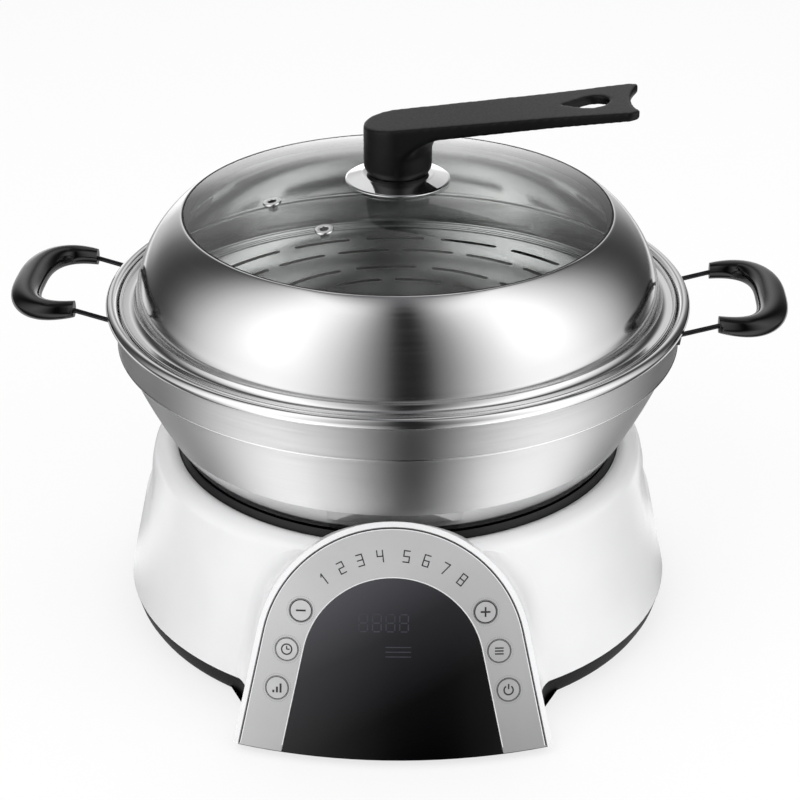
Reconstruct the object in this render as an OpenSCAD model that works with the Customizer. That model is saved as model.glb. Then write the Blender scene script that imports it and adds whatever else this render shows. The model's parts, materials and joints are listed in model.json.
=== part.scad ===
// Electric hot pot: a stainless pot with a steamer tray and a domed glass lid, standing on a
// white heating base with a sloping control panel. Millimetres, +Z up, the front faces -Y,
// origin on the table at the pot's axis.

/* [Pot] */
// Outer radius of the pot's rolled rim
rim_r = 170; // [160:1:180]
// Height of the pot from its floor to the top of the rim
pot_h = 113; // [106:1:122]
// Section radius of the rolled rim
bead_r = 3.3; // [2.8:0.1:4]
// Thickness of the pressed steel
sheet = 0.8; // [0.6:0.1:1]
// Depth of the steamer ledge below the rim
ledge_drop = 26; // [22:1:30]
// Width of the steamer ledge
ledge_w = 2.5; // [2:0.1:3.5]
// Section radius of the bowl's side
side_r = 330; // [280:5:420]
// Section radius of the bend between side and floor
knuckle_r = 20; // [14:1:24]
// Radius of the flat floor
pot_floor_r = 104; // [98:1:108]
// Thickness of the bonded bottom disc
disc_t = 2.5; // [1.5:0.5:5]
// Width left free between the bottom disc's edge and the bend
disc_inset = 5; // [3:1:12]
// Turn of the pot on its base, as it was set down
pot_turn = -2.4; // [-12:0.1:12]

/* [Side handles] */
// Half the distance between a handle's two wires
wire_half = 38; // [34:1:42]
// Radius of the handle wire
wire_r = 1.4; // [1.2:0.1:1.8]
// Gap between the rim's edge and the ends of a grip
grip_gap = 14; // [12:1:20]
// Reach of a grip beyond its ends
grip_reach = 42; // [36:1:50]
// Half the width of a grip's loop along the bend's middle line
grip_half = 44; // [42:1:48]
// Radius of a grip at its ends
grip_end_r = 4.8; // [4:0.1:6]
// Width of a grip at its middle
grip_mid_w = 18; // [14:0.5:22]
// Thickness of a grip at its middle
grip_mid_t = 14; // [11:0.5:17]
// Drop of the grips' middle plane below the rim's top
grip_drop = 1.5; // [0:0.5:4]
// Depth of the wire inside a grip
wire_grip = 7; // [4:1:9]
// Width of the lug that carries a wire
lug_w = 9; // [7:1:12]
// Height of the lug
lug_h = 13; // [10:1:16]
// Thickness of the lug
lug_t = 4.2; // [3.6:0.1:6]

/* [Steamer tray] */
// Gap between the tray's wall and the pot's wall
tray_gap = 0.8; // [0.6:0.1:1.5]
// Drop of the tray's rim below the pot's rim
tray_drop = 4.4; // [4:0.1:7]
// Section radius of the tray's rolled rim
tray_bead_r = 1.4; // [1.1:0.1:1.7]
// Depth of the tray's floor below its outer land
floor_dip = 2; // [1.2:0.1:3]
// Width of the floor's outer land
land_w = 5; // [4:0.5:7]
// Width of a steam slot
slot_w = 3.8; // [3:0.1:4]
// Distance from the floor's edge to the middle of the outer ring of slots
slot_inset = 19; // [15:1:22]
// Distance between the two rings of a pair
slot_pitch = 19.5; // [16:0.5:21]
// Distance between one pair of rings and the next
slot_pair = 46.5; // [42:0.5:48]

/* [Lid] */
// Radius of the glass
glass_r = 122.8; // [114:0.2:128]
// Thickness of the glass
glass_t = 4; // [3:0.5:5]
// Rise of the glass from its edge to its crown
glass_rise = 18; // [14:1:22]
// Height of the glass edge above the pot's rim
lid_rise = 50; // [44:1:58]
// Distance from the pot's rim to the foot of the dome
lid_inset = 17.5; // [15:0.5:20]
// Section radius of the steel dome
dome_r = 69; // [60:1:100]
// Height of the dome's foot above its flange
foot_h = 4.5; // [3:0.5:7]
// Thickness of the black seal round the glass
seal_w = 1; // [0.8:0.1:1.4]
// Width of the seat below the glass
seat_w = 8; // [6:0.5:11]
// Section radius of the lid's rolled edge
lid_bead_r = 1.2; // [1:0.1:1.4]
// Gap between the lid's edge and the tray's rim below it
lid_gap = 0.3; // [0.2:0.1:0.6]
// Distance of the vent eyelets from the axis
vent_at = 74; // [60:1:90]
// Radius of the hole through a vent eyelet
vent_r = 1.8; // [1.5:0.1:2]
// Radius of a vent eyelet's collar
vent_collar_r = 5.4; // [4.5:0.1:6.5]

/* [Lid handle] */
// Radius of the handle's hub
hub_r = 19.5; // [17:0.5:22]
// Height of the hub on the axis
hub_h = 31; // [26:1:38]
// Reach of the arm from the axis
arm_len = 135; // [125:1:150]
// Rise of the arm in degrees
arm_rise = 7.2; // [4:0.2:10]
// Width of the arm at the axis
arm_root_w = 29; // [24:1:34]
// Width of the arm at its tip
arm_tip_w = 52; // [42:1:56]
// Thickness of the arm beside the hub
arm_root_t = 8; // [6:0.5:10]
// Thickness of the arm at its tip
arm_tip_t = 5; // [4:0.5:6]
// Radius of the arm's corners
arm_corner_r = 6; // [4:0.5:8]
// Depth of the hollow in the arm's end
arm_notch = 5; // [3:0.5:7]
// Radius of the hanging hole's round end
hang_r = 9.5; // [7:0.5:11]
// Distance from the arm's tip to the middle of the hanging hole
hang_at = 26; // [23:0.5:32]
// Length of the hanging hole's pointed end
hang_point = 17; // [14:0.5:20]
// Radius of the bright seat below the hub
seat_r = 30; // [26:0.5:34]
// Height of the bright seat
seat_h = 4.2; // [3.4:0.1:6]
// Radius of the handle's screw
handle_screw_r = 2.5; // [2:0.1:3]
// Turn of the lid on the pot, as it was put down
lid_turn = -3.5; // [-12:0.1:12]

/* [Base] */
// Height of the rubber feet
pad_h = 3; // [2:0.5:5]
// Radius of a rubber foot
pad_r = 9; // [7:0.5:12]
// Distance of the feet from the axis
pad_at = 128; // [110:1:138]
// Height of the black bottom cover
cover_h = 14; // [11:0.5:18]
// Wall of the plastic mouldings
wall = 2.6; // [2:0.1:3.2]
// Height of the heating plate's top above the bottom cover
plate_up = 80; // [74:1:88]
// Width from the pot opening to the widest part of the base
base_flare = 31.3; // [28:0.5:38]
// Section radius of the base's shoulder
shoulder_r = 9.5; // [8.5:0.5:11]
// Width from the pot opening to the middle of the shoulder's round
shoulder_in = 5; // [4:0.5:7]
// Height of the shoulder's top above the heating plate's top
shoulder_up = 21.5; // [18:0.5:25]
// Height of the black ring's top above the heating plate's top
ring_up = 24; // [21:0.5:27]
// Gap between the black ring and the pot
ring_gap = 0.9; // [0.6:0.1:1.5]
// Width of the black ring's top edge
ring_w = 2.4; // [2:0.1:3.5]
// Depth of the shelf that carries the black ring, below the shoulder's top
shelf_drop = 11; // [9:0.5:14]
// Width of the shelf
shelf_w = 8; // [6:0.5:9]
// Depth of the finger recess in each side of the base
recess_d = 4; // [2.5:0.5:5]
// Section radius of the finger recess
recess_r = 20; // [16:1:26]
// Drop of the recess's middle below the shoulder's top
recess_drop = 22; // [18:1:30]

/* [Control panel] */
// Reach of the panel's lower edge beyond the base's widest part
panel_reach = 35; // [28:1:42]
// Lean of the panel from upright in degrees
panel_tilt = 24.6; // [20:0.2:30]
// Radius of the panel's bow across
front_r = 295; // [250:5:400]
// Thickness of the panel and of its window
panel_t = 1.5; // [1.2:0.1:2]
// Radius of the panel's arch
arch_r = 73; // [68:0.5:76]
// Height of the arch's centre along the panel
arch_c = 53.3; // [48:0.1:56]
// Spread of the panel's sides in degrees
arch_spread = 12; // [8:0.5:14]
// Width of the white rim round the panel
rim_w = 3.2; // [2.6:0.1:5]
// Radius of the hollow between the control nose and the body
nose_fillet = 22; // [12:1:26]
// Radius of the window's arch
window_r = 49.5; // [45:0.5:52]
// Height of the window arch's centre along the panel
window_c = 49; // [44:0.5:52]
// Gap round the panel, the window and the keys
panel_gap = 0.3; // [0.2:0.05:0.4]
// Radius of a key
key_r = 6.4; // [5.5:0.1:7]
// Travel of a key
key_travel = 0.5; // [0.3:0.1:0.7]
// Height of a key above the panel
key_proud = 0.3; // [0.1:0.1:0.8]

/* [Heater] */
// Thickness of the heating plate
plate_t = 11; // [9:1:14]
// Width left free between the heating plate's edge and the pot floor's edge
plate_inset = 8; // [5:1:12]
// Radius of the heating tube
tube_r = 4; // [3:0.5:4.5]
// Distance of the heating tube from the axis
tube_at = 60; // [50:1:68]
// Clear height below the heating plate
plate_air = 8; // [7.5:0.5:12]
// Radius of the temperature sensor's cap
sensor_r = 13; // [11:0.5:15]
// Rise of the temperature sensor when the pot is lifted
sensor_rise = 3; // [2:0.5:4]
// Radius of the sensor's stem
stem_r = 3; // [2.5:0.1:3.5]

/* [Hidden] */
$fn = 96;
big_fn = 360;
// Overlap that lets rounds and flats cross where they would only touch
shy = 0.02;

// Heights from the table up
cover_z = pad_h;
split_z = cover_z + cover_h;
skirt_z = cover_z + 3;
cover_floor_z = cover_z + wall;
plate_z = cover_z + plate_up;
pot_z = plate_z + disc_t;
rim_z = pot_z + pot_h;
ledge_z = rim_z - ledge_drop;
shoulder_z = plate_z + shoulder_up;
ring_z = plate_z + ring_up;
shelf_z = shoulder_z - shelf_drop;
pan_floor_z = plate_z - plate_t - plate_air - sheet;

// Circle of radius r through p that holds the circle of radius k round q inside it
function tangent_centre(p, q, r, k) =
    let (d = norm(p - q),
         u = (p - q) / d,
         a = ((r - k) ^ 2 - r ^ 2 + d ^ 2) / (2 * d),
         h = sqrt((r - k) ^ 2 - a ^ 2))
    q + a * u + h * [-u[1], u[0]];

// Point where a line from p touches the circle of radius r round c, on side s of the way there
function touch(p, c, r, s) =
    let (v = p - c,
         a = atan2(v[1], v[0]) + s * acos(r / norm(v)))
    c + r * [cos(a), sin(a)];

// Centre of the circle of radius r through p and q, on the right of the way from p to q
function chord_centre(p, q, r) =
    let (d = norm(q - p),
         u = (q - p) / d,
         h = sqrt(r ^ 2 - d ^ 2 / 4))
    (p + q) / 2 + h * [u[1], -u[0]];

// Bowl of the pot
wall_r = rim_r - 2 * bead_r + sheet;
side_foot = [wall_r - ledge_w, ledge_z - sheet];
bend = [pot_floor_r, pot_z + knuckle_r];
side_c = tangent_centre(side_foot, bend, side_r, knuckle_r);
side_dir = (bend - side_c) / norm(bend - side_c);
function bowl_r(z, grow = 0) = side_c[0] + sqrt((side_r + grow) ^ 2 - (z - side_c[1]) ^ 2);

// Base, worked out from the pot that stands in it
opening_r = bowl_r(ring_z, ring_gap) + ring_w;
foot_r = opening_r + base_flare;
shoulder_c = [opening_r + shoulder_in, shoulder_z - shoulder_r];
shelf_in_r = opening_r - shelf_w;
cover_gap = 0.2;
boss_r = 4.5;
boss_at = opening_r + 4;
boss_angles = [22, 158, 202, 338];
cover_screw_r = 1.5;
screw_play = 0.1;
screw_head_r = 3.2;
screw_head_h = 1.6;
pad_angles = [45, 135, 225, 315];
floor_vent_rows = 9;
floor_vent_pitch = 9;
floor_vent_l = 44;
floor_vent_w = 3.5;
floor_vent_at = [48, -40];
band_in = 2.5;
band_knee = 5;
side_touch = touch([foot_r, split_z], shoulder_c, shoulder_r - shy, 1);

// Outer radius of the body and its lower band at height z
function base_r(z) =
    z < split_z ? foot_r - band_in * (split_z - z) / (cover_h - band_knee) :
    z < side_touch[1] ? foot_r + (side_touch[0] - foot_r) * (z - split_z) / (side_touch[1] - split_z) :
    shoulder_c[0] + sqrt(shoulder_r ^ 2 - (z - shoulder_c[1]) ^ 2);

// Control panel: origin at the middle of its lower edge
panel_y = foot_r + panel_reach;
panel_foot_z = skirt_z + 0.5;
arch_steps = 40;
tongue_depth = 90;
tongue_gap = 4;
hollow_top_z = shelf_z - 3;
front_wall = 2.6;
keys = [[50.3, 80.2], [58, 58.7], [63.3, 37.3]];
key_flange = 1.2;
key_cap_h = 4.5;
key_stem_r = 1.5;
board_n = -17.4;
board_t = 1.6;
board_low = [140, 46];
board_high = [116, 34];
board_foot = 22;
board_step = 60;
board_screw_r = 1.1;
board_screw_head_r = 2.4;
board_screw_head_h = 1.4;
board_screw_l = 7;
switch_w = 6;
switch_h = 3.4;
plunger_r = 1.7;
plunger_h = 0.8;
stem_gap = key_travel + 0.2;
display_size = [64, 24];
display_at = [0, 74];
post_r = 3;
board_posts = [[-64, 27], [64, 27], [-44, 88], [44, 88]];
function front_n(u) = sqrt(front_r ^ 2 - u ^ 2) - front_r;

// Hollow between the nose's side and the body, worked out level by level
nose_r = arch_r + rim_w;
panel_cut = 30;
nose_top = [nose_r * cos(arch_spread), arch_c + nose_r * sin(arch_spread)];
fillet_low = skirt_z + 0.7;
fillet_high = shoulder_z - 3;
fillet_levels = 18;
fillet_steps = 7;
fillet_sink = 0.25;
fillet_root = 1.2;
function nose_w(y, z) = (y + panel_y) * sin(panel_tilt) + (z - panel_foot_z) * cos(panel_tilt);
function nose_half(w) = w < nose_top[1] ?
    nose_top[0] + (nose_top[1] - w) * tan(arch_spread) : sqrt(nose_r ^ 2 - (w - arch_c) ^ 2);
function nose_lean(w) = -sin(panel_tilt) * (w < nose_top[1] ? tan(arch_spread) : (w - arch_c) / nose_half(w));
// Place where the nose's side meets the body at height z, found by steps
function corner_y(z, y, steps) =
    steps == 0 ? y : corner_y(z, -sqrt(base_r(z) ^ 2 - nose_half(nose_w(y, z)) ^ 2), steps - 1);
// Radius of the hollow at height z, fading out towards the shoulder
function fillet_at(z) =
    let (t = max(0, (z - fillet_high + nose_fillet) / nose_fillet))
    nose_fillet * max(0.12, sqrt(1 - min(1, t) ^ 2));
function fillet_z(i) = fillet_low + (fillet_high - fillet_low) * (1 - (1 - i / fillet_levels) ^ 1.5);
// Section of the filling at height z: its hollow side, then its root inside the walls
function fillet_section(z) =
    let (f = fillet_at(z),
         r = base_r(z),
         y0 = corner_y(z, -0.9 * r, 12),
         x0 = nose_half(nose_w(y0, z)),
         m = nose_lean(nose_w(y0, z)),
         n = [1, -m] / sqrt(1 + m ^ 2),
         a = x0 - m * y0 + f * sqrt(1 + m ^ 2),
         cy = (-a * m - sqrt((a * m) ^ 2 - (1 + m ^ 2) * (a ^ 2 - (r + f) ^ 2))) / (1 + m ^ 2),
         c = [a + m * cy, cy],
         first = atan2(-n[1], -n[0]) + 360,
         last = atan2(-c[1], -c[0]),
         from = first > 270 ? first - 360 : first,
         on_body = c * (r - fillet_root) / norm(c),
         root = [x0, y0] * (r - fillet_root) / r - n * fillet_root)
    concat(
        [for (i = [0 : fillet_steps])
            let (t = from + (last - from) * i / fillet_steps)
            [c[0] + (f + fillet_sink) * cos(t), c[1] + (f + fillet_sink) * sin(t), z]],
        [[on_body[0], on_body[1], z], [root[0], root[1], z],
         [c[0] - (f + fillet_root) * n[0], c[1] - (f + fillet_root) * n[1], z]]);

// Heater
plate_r = pot_floor_r - plate_inset;
pan_r = shelf_in_r - 1;
pan_flange_w = 6;
pan_screw_angles = [0, 90, 180, 270];
leg_r = 5;
leg_screw_r = 1.95;
leg_screw_l = 8;
leg_screw_head_r = 4;
leg_screw_head_h = 2;
pan_screw_r = 1.3;
pan_screw_head_r = 2.2;
pan_screw_head_h = 1.5;
leg_at = plate_r - 12;
leg_angles = [90, 210, 330];
tube_span = 310;
tube_end = 4;
tube_z = plate_z - plate_t + 1;
tube_leg = 18;
sensor_hole_r = sensor_r + 3;
holder_r = 6;
holder_flange_r = 12;
holder_t = 1.2;
stem_play = 0.1;
cap_t = 2;
cap_h = 7;
spring_r = 7.5;
spring_wire_r = 0.6;
spring_turns = 6;
spring_low = pan_floor_z + sheet + holder_t + spring_wire_r + 0.2;
spring_high = plate_z - cap_t - spring_wire_r - 0.2;

// Power board
board_at = [0, 62];
board_z = cover_z + 11;
board_size = [104, 72];
board_post_r = 3.5;
board_post_at = [44, 29];
transformer = [30, 26, 23];
transformer_at = [-44, -18];
relay = [20, 16, 16];
relay_at = [0, -22];
heat_sink = [14, 22, 14];
heat_sink_at = [6, 6];
capacitor_r = 6;
capacitor_h = 18;
capacitor_at = [34, 8];

// Mains inlet at the back
inlet_w = 30;
inlet_h = 22;
inlet_up = 31;
inlet_z = split_z + inlet_up;
inlet_d = 24;
inlet_lip = 2.5;
inlet_t = 2;
hood_margin = 3.5;
hood_y = foot_r - 4;
socket_w = 24;
socket_h = 17;
socket_d = 15;
pin_w = 2;
pin_h = 4;
pin_d = 12;
pin_at = [[-7, -2], [7, -2], [0, 2]];

// Lid
tray_top_z = rim_z - tray_drop;
lid_z = tray_top_z + lid_gap;
edge_z = rim_z + lid_rise;
glass_sphere_r = (glass_r ^ 2 + glass_rise ^ 2) / (2 * glass_rise);
glass_c_z = edge_z + glass_rise - glass_sphere_r;
function glass_z(r) = glass_c_z + sqrt(glass_sphere_r ^ 2 - r ^ 2);
dome_top = [glass_r + seal_w + sheet, edge_z];
dome_foot = [rim_r - lid_inset, lid_z + sheet + foot_h];
dome_c = chord_centre(dome_top, dome_foot, dome_r);
lid_edge_r = wall_r - sheet - tray_gap - tray_bead_r;
foot_round_r = foot_h;
glass_drop = edge_z - glass_c_z - sqrt((glass_sphere_r - glass_t) ^ 2 - glass_r ^ 2);
seat_z = edge_z - glass_drop - seal_w - 0.1;
vent_angles = [198, 238];
vent_sleeve_r = vent_r + 0.9;
vent_collar_h = 1.2;
vent_dip = vent_collar_r * vent_at / glass_sphere_r;

// Lid handle
crown_z = edge_z + glass_rise;
hub_z = crown_z + seat_h;
hub_top_z = hub_z + hub_h;
hub_fillet_r = 10;
gasket_r = 13;
gasket_t = 1;
washer_r = 15;
washer_t = 1.2;
screw_len = 24;
function arm_top(x) = hub_top_z + x * tan(arm_rise);
function arm_under(x) =
    arm_top(x) - arm_root_t + (arm_root_t - arm_tip_t) * (x - hub_r) / (arm_len - hub_r);

// Steamer tray
tray_r = wall_r - sheet - tray_gap;
tray_z = ledge_z + 0.3;
tray_floor_r = tray_r - land_w;
slot_outer = tray_floor_r - slot_inset;
slot_rings = [
    [slot_outer, 18, 14, 4],
    [slot_outer - slot_pitch, 18, 14, -6],
    [slot_outer - slot_pair, 12, 21.5, -7],
    [slot_outer - slot_pair - slot_pitch, 12, 20.5, 8],
    [slot_outer - 2 * slot_pair, 6, 36, 0],
    [slot_outer - 2 * slot_pair - slot_pitch, 6, 32, 30]];

// Side handles
grip_in = rim_r + grip_gap;
grip_z = rim_z - grip_drop;
wire_in = sqrt(wall_r ^ 2 - wire_half ^ 2) + 1;
wire_z = rim_z - 2 * bead_r - wire_r - 1.2;
wire_play = 0.05;
wire_rise = atan2(grip_z - wire_z, grip_in + wire_grip / 2 - wire_in);
wire_run = (grip_in + wire_grip - wire_in) / cos(wire_rise);
lug_top_z = rim_z - 2 * bead_r - 0.4;
grip_rings = 26;
grip_sides = 14;
grip_power = 2 / 2.8;

// Area inside the bowl's outer face, grown by grow, from its floor up to top
module bowl_area(grow, top) {
    turn = side_c + (side_r + grow) * side_dir;
    floor_z = pot_z - grow;
    intersection() {
        translate(side_c) circle(r = side_r + grow, $fn = big_fn);
        translate([0, turn[1]]) square([2 * rim_r, top - turn[1]]);
    }
    intersection() {
        translate(bend) circle(r = knuckle_r + grow);
        translate([bend[0], floor_z]) square([2 * knuckle_r, turn[1] - floor_z]);
    }
    polygon([[0, floor_z], [bend[0], floor_z], turn, [0, turn[1]]]);
}

// Pressed bowl with the steamer ledge, the straight band and the rolled rim
module pot_shell() color("silver") rotate_extrude() {
    difference() {
        bowl_area(0, side_foot[1]);
        bowl_area(-sheet, side_foot[1] + 1);
    }
    translate([side_foot[0] - sheet, side_foot[1]]) square([ledge_w + sheet, sheet]);
    translate([wall_r - sheet, side_foot[1]]) square([sheet, rim_z - bead_r - side_foot[1]]);
    translate([rim_r - bead_r, rim_z - bead_r]) circle(r = bead_r);
}

module pot_base_disc() color("gainsboro")
    translate([0, 0, plate_z]) cylinder(r = pot_floor_r - disc_inset, h = disc_t);

// Places a left (180) or right (0) handle on the turned pot
module handle_side(a) rotate([0, 0, pot_turn + a]) children();

// Line of a handle wire, rising from inside its lug past the rim into the grip
module on_wire(s) translate([wire_in, s * wire_half, wire_z]) rotate([0, 90 - wire_rise, 0]) children();

module wires(a) color("dimgray") handle_side(a) for (s = [-1, 1])
    on_wire(s) cylinder(r = wire_r, h = wire_run);

// Lug under the rim, hollowed to the pot's wall and drilled for the wire
module lugs(a) color("black") handle_side(a) for (s = [-1, 1]) difference() {
    translate([0, s * wire_half - lug_w / 2, lug_top_z - lug_h])
        cube([sqrt((wall_r + lug_t) ^ 2 - wire_half ^ 2), lug_w, lug_h]);
    cylinder(r = wall_r, h = rim_z, $fn = big_fn);
    on_wire(s) cylinder(r = wire_r + wire_play, h = wire_run);
}

// Middle line of a grip: 0 at its ends, 1 at its outer bend
function grip_bend(t) = pow(abs(cos(90 * t)), grip_power);
function grip_side(t) = sign(t) * pow(abs(sin(90 * t)), grip_power);
function grip_mid(t) =
    let (b = grip_bend(t),
         lean = (grip_half - wire_half) * (1 - b) ^ 2)
    [grip_in + (grip_reach - grip_mid_w / 2) * b, grip_half * grip_side(t) - sign(t) * lean, grip_z];
function grip_dir(t) =
    let (d = 0.02,
         v = grip_mid(min(1, t + d)) - grip_mid(max(-1, t - d)))
    abs(t) > 0.999 ? [-sign(t), 0, 0] : v / norm(v);
function grip_ring(t) =
    let (b = grip_bend(t),
         w = grip_end_r + (grip_mid_w / 2 - grip_end_r) * b,
         h = grip_end_r + (grip_mid_t / 2 - grip_end_r) * b,
         v = grip_dir(t),
         n = [-v[1], v[0], 0])
    [for (i = [0 : grip_sides - 1])
        let (a = 360 * i / grip_sides)
        grip_mid(t) + n * w * cos(a) + [0, 0, h * sin(a)]];

// Moulded D-shaped grip, swept along its bend and drilled for the two wires
module grip(a) color("black") handle_side(a) difference() {
    rings = [for (i = [0 : grip_rings]) grip_ring(2 * i / grip_rings - 1)];
    polyhedron(
        points = [for (r = rings) each r],
        faces = concat(
            [[for (i = [0 : grip_sides - 1]) i]],
            [for (k = [0 : grip_rings - 1], i = [0 : grip_sides - 1])
                let (p = k * grip_sides + i,
                     q = k * grip_sides + (i + 1) % grip_sides)
                each [[p, p + grip_sides, q], [q, p + grip_sides, q + grip_sides]]],
            [[for (i = [grip_sides - 1 : -1 : 0]) grip_rings * grip_sides + i]]));
    for (s = [-1, 1]) on_wire(s) cylinder(r = wire_r + wire_play, h = wire_run + wire_play, $fn = 24);
}

module left_lugs() lugs(180);
module left_wires() wires(180);
module left_grip() grip(180);
module right_lugs() lugs(0);
module right_wires() wires(0);
module right_grip() grip(0);

// Arc-shaped slots with round ends, in staggered rings
module slot(r, span) {
    rotate([0, 0, -span / 2]) rotate_extrude(angle = span)
        translate([r - slot_w / 2, 0]) square([slot_w, floor_dip + 4 * sheet]);
    for (a = [-span / 2, span / 2]) rotate([0, 0, a]) translate([r, 0, 0])
        cylinder(r = slot_w / 2, h = floor_dip + 4 * sheet, $fn = 24);
}

// Steamer tray: rolled rim, straight wall, outer land on the pot's ledge and a slotted floor
module steamer_tray() color("silver") rotate([0, 0, pot_turn]) difference() {
    floor_z = tray_z - floor_dip;
    rotate_extrude() {
        translate([tray_r + 0.4 - tray_bead_r, tray_top_z - tray_bead_r]) circle(r = tray_bead_r, $fn = 48);
        translate([tray_r - sheet, tray_z]) square([sheet, tray_top_z - tray_bead_r - tray_z]);
        translate([tray_floor_r - sheet, tray_z]) square([land_w + sheet, sheet]);
        translate([tray_floor_r - sheet, floor_z]) square([sheet, floor_dip + sheet]);
        translate([0, floor_z]) square([tray_floor_r, sheet]);
    }
    translate([0, 0, floor_z - 1]) for (ring = slot_rings, i = [0 : ring[1] - 1])
        rotate([0, 0, ring[3] + 360 * (i + 0.5) / ring[1]]) slot(ring[0], ring[2]);
}

// Area under the dome's outer face, grown by grow, between its foot and the glass edge
module dome_area(grow) intersection() {
    translate(dome_c) circle(r = dome_r + grow, $fn = big_fn);
    translate([dome_c[0], dome_foot[1]]) square([dome_r, edge_z - dome_foot[1]]);
}

// Steel dome with a rounded foot, a flat flange with rolled edge, and a stepped seat for the glass
module lid_shell() color("silver") rotate_extrude() {
    difference() {
        dome_area(0);
        dome_area(-sheet);
        translate([0, seat_z]) square([dome_top[0] - sheet, lid_rise]);
    }
    difference() {
        translate([dome_foot[0] - sheet, lid_z]) square([foot_round_r + sheet, foot_h + sheet]);
        translate([dome_foot[0] + foot_round_r, dome_foot[1]]) circle(r = foot_round_r);
        translate([dome_foot[0] + foot_round_r, dome_foot[1]]) difference() {
            square(2 * (foot_round_r + 2 * sheet), center = true);
            circle(r = foot_round_r + sheet);
            translate([0, -foot_round_r - 2 * sheet]) square(2 * (foot_round_r + 2 * sheet));
        }
    }
    translate([dome_foot[0] + foot_round_r, lid_z])
        square([lid_edge_r - dome_foot[0] - foot_round_r, sheet]);
    translate([lid_edge_r, lid_z + lid_bead_r]) circle(r = lid_bead_r, $fn = 48);
    translate([dome_top[0] - sheet, seat_z - sheet]) square([sheet, edge_z - seat_z + sheet]);
    translate([glass_r - seat_w, seat_z - sheet]) square([seat_w + seal_w + sheet, sheet]);
}

// Black seal: a narrow edge beside the glass and a bed below it
module glass_seal() color("black") rotate_extrude() {
    translate([glass_r, seat_z]) square([seal_w, edge_z - seat_z]);
    translate([glass_r - seat_w, seat_z]) square([seat_w, seal_w]);
}

// Places children on the glass at each vent
module at_vents() for (a = vent_angles) rotate([0, 0, a]) translate([vent_at, 0, 0]) children();

module lid_glass() color("lightgray", 0.4) difference() {
    rotate_extrude() difference() {
        intersection() {
            translate([0, glass_c_z]) circle(r = glass_sphere_r, $fn = big_fn);
            translate([handle_screw_r + 1, edge_z - 2 * glass_t])
                square([glass_r - handle_screw_r - 1, glass_rise + 3 * glass_t]);
        }
        translate([0, glass_c_z]) circle(r = glass_sphere_r - glass_t, $fn = big_fn);
    }
    at_vents() translate([0, 0, edge_z - glass_t]) cylinder(r = vent_sleeve_r + 0.1, h = 3 * glass_rise);
}

// Riveted steel eyelets: a collar above and below the glass on a hollow sleeve
module vent_eyelets() color("silver") at_vents() {
    top = glass_z(vent_at) + vent_dip + 0.1;
    low = glass_z(vent_at) - glass_t - 2 * vent_dip - 0.2;
    difference() {
        union() {
            translate([0, 0, low - vent_collar_h])
                cylinder(r = vent_sleeve_r, h = top - low + 2 * vent_collar_h);
            translate([0, 0, top]) cylinder(r1 = vent_collar_r, r2 = vent_collar_r - 1.6, h = vent_collar_h);
            translate([0, 0, low - vent_collar_h]) cylinder(r = vent_collar_r - 0.8, h = vent_collar_h);
        }
        translate([0, 0, low - 2 * vent_collar_h]) cylinder(r = vent_r, h = top - low + 4 * vent_collar_h);
    }
}

// Bright dished seat between the hub and the glass
module handle_seat() color("gainsboro") {
    low = glass_z(seat_r) + 0.2;
    rotate_extrude() polygon([
        [handle_screw_r + 0.2, crown_z + gasket_t],
        [gasket_r + 0.4, crown_z + gasket_t],
        [gasket_r + 0.4, crown_z + 0.1],
        [seat_r - 1, low],
        [seat_r, low + 0.5],
        [seat_r, low + 1.2],
        [seat_r - 1, low + 1.8],
        [hub_r + 1.5, hub_z - 0.8],
        [hub_r - 0.5, hub_z],
        [handle_screw_r + 0.2, hub_z]]);
}

// Silicone washers on both faces of the glass
module handle_gaskets() color("dimgray") difference() {
    union() {
        translate([0, 0, crown_z]) cylinder(r = gasket_r, h = gasket_t);
        translate([0, 0, crown_z - glass_t - gasket_t - 0.3]) cylinder(r = gasket_r, h = gasket_t);
    }
    translate([0, 0, crown_z - 2 * glass_t]) cylinder(r = handle_screw_r + 0.2, h = 4 * glass_t);
}

module handle_washer() color("silver") translate([0, 0, crown_z - glass_t - gasket_t - 0.3 - washer_t])
    difference() {
        cylinder(r = washer_r, h = washer_t);
        translate([0, 0, -1]) cylinder(r = handle_screw_r + 0.2, h = washer_t + 2);
    }

// Screw from inside the lid up into the hub
module handle_screw() color("silver") {
    low = crown_z - glass_t - gasket_t - 0.3 - washer_t;
    translate([0, 0, low]) cylinder(r = handle_screw_r, h = screw_len);
    translate([0, 0, low - 3]) cylinder(r1 = 2 * handle_screw_r - 1, r2 = 2 * handle_screw_r, h = 3);
}

// Plan of the flaring arm, with its hollow end and teardrop hanging hole
module arm_plan() difference() {
    corner = [arm_len - arm_corner_r, arm_tip_w / 2 - arm_corner_r];
    side = touch([0, arm_root_w / 2], corner, arm_corner_r - shy, -1);
    hang = [arm_len - hang_at, 0];
    hang_turn = acos((hang_r - shy) / hang_point);
    hang_side = (hang_r - shy) * [-cos(hang_turn), sin(hang_turn)];
    union() {
        polygon([[0, arm_root_w / 2], [side[0], side[1]], [arm_len - shy, corner[1]],
            [arm_len - shy, -corner[1]], [side[0], -side[1]], [0, -arm_root_w / 2]]);
        for (s = [-1, 1]) translate([corner[0], s * corner[1]]) circle(r = arm_corner_r);
    }
    translate([arm_len - arm_notch + arm_tip_w, 0]) circle(r = arm_tip_w);
    translate(hang) circle(r = hang_r);
    translate(hang) polygon([[-hang_point, 0], hang_side, [hang_side[0], -hang_side[1]]]);
}

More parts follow.
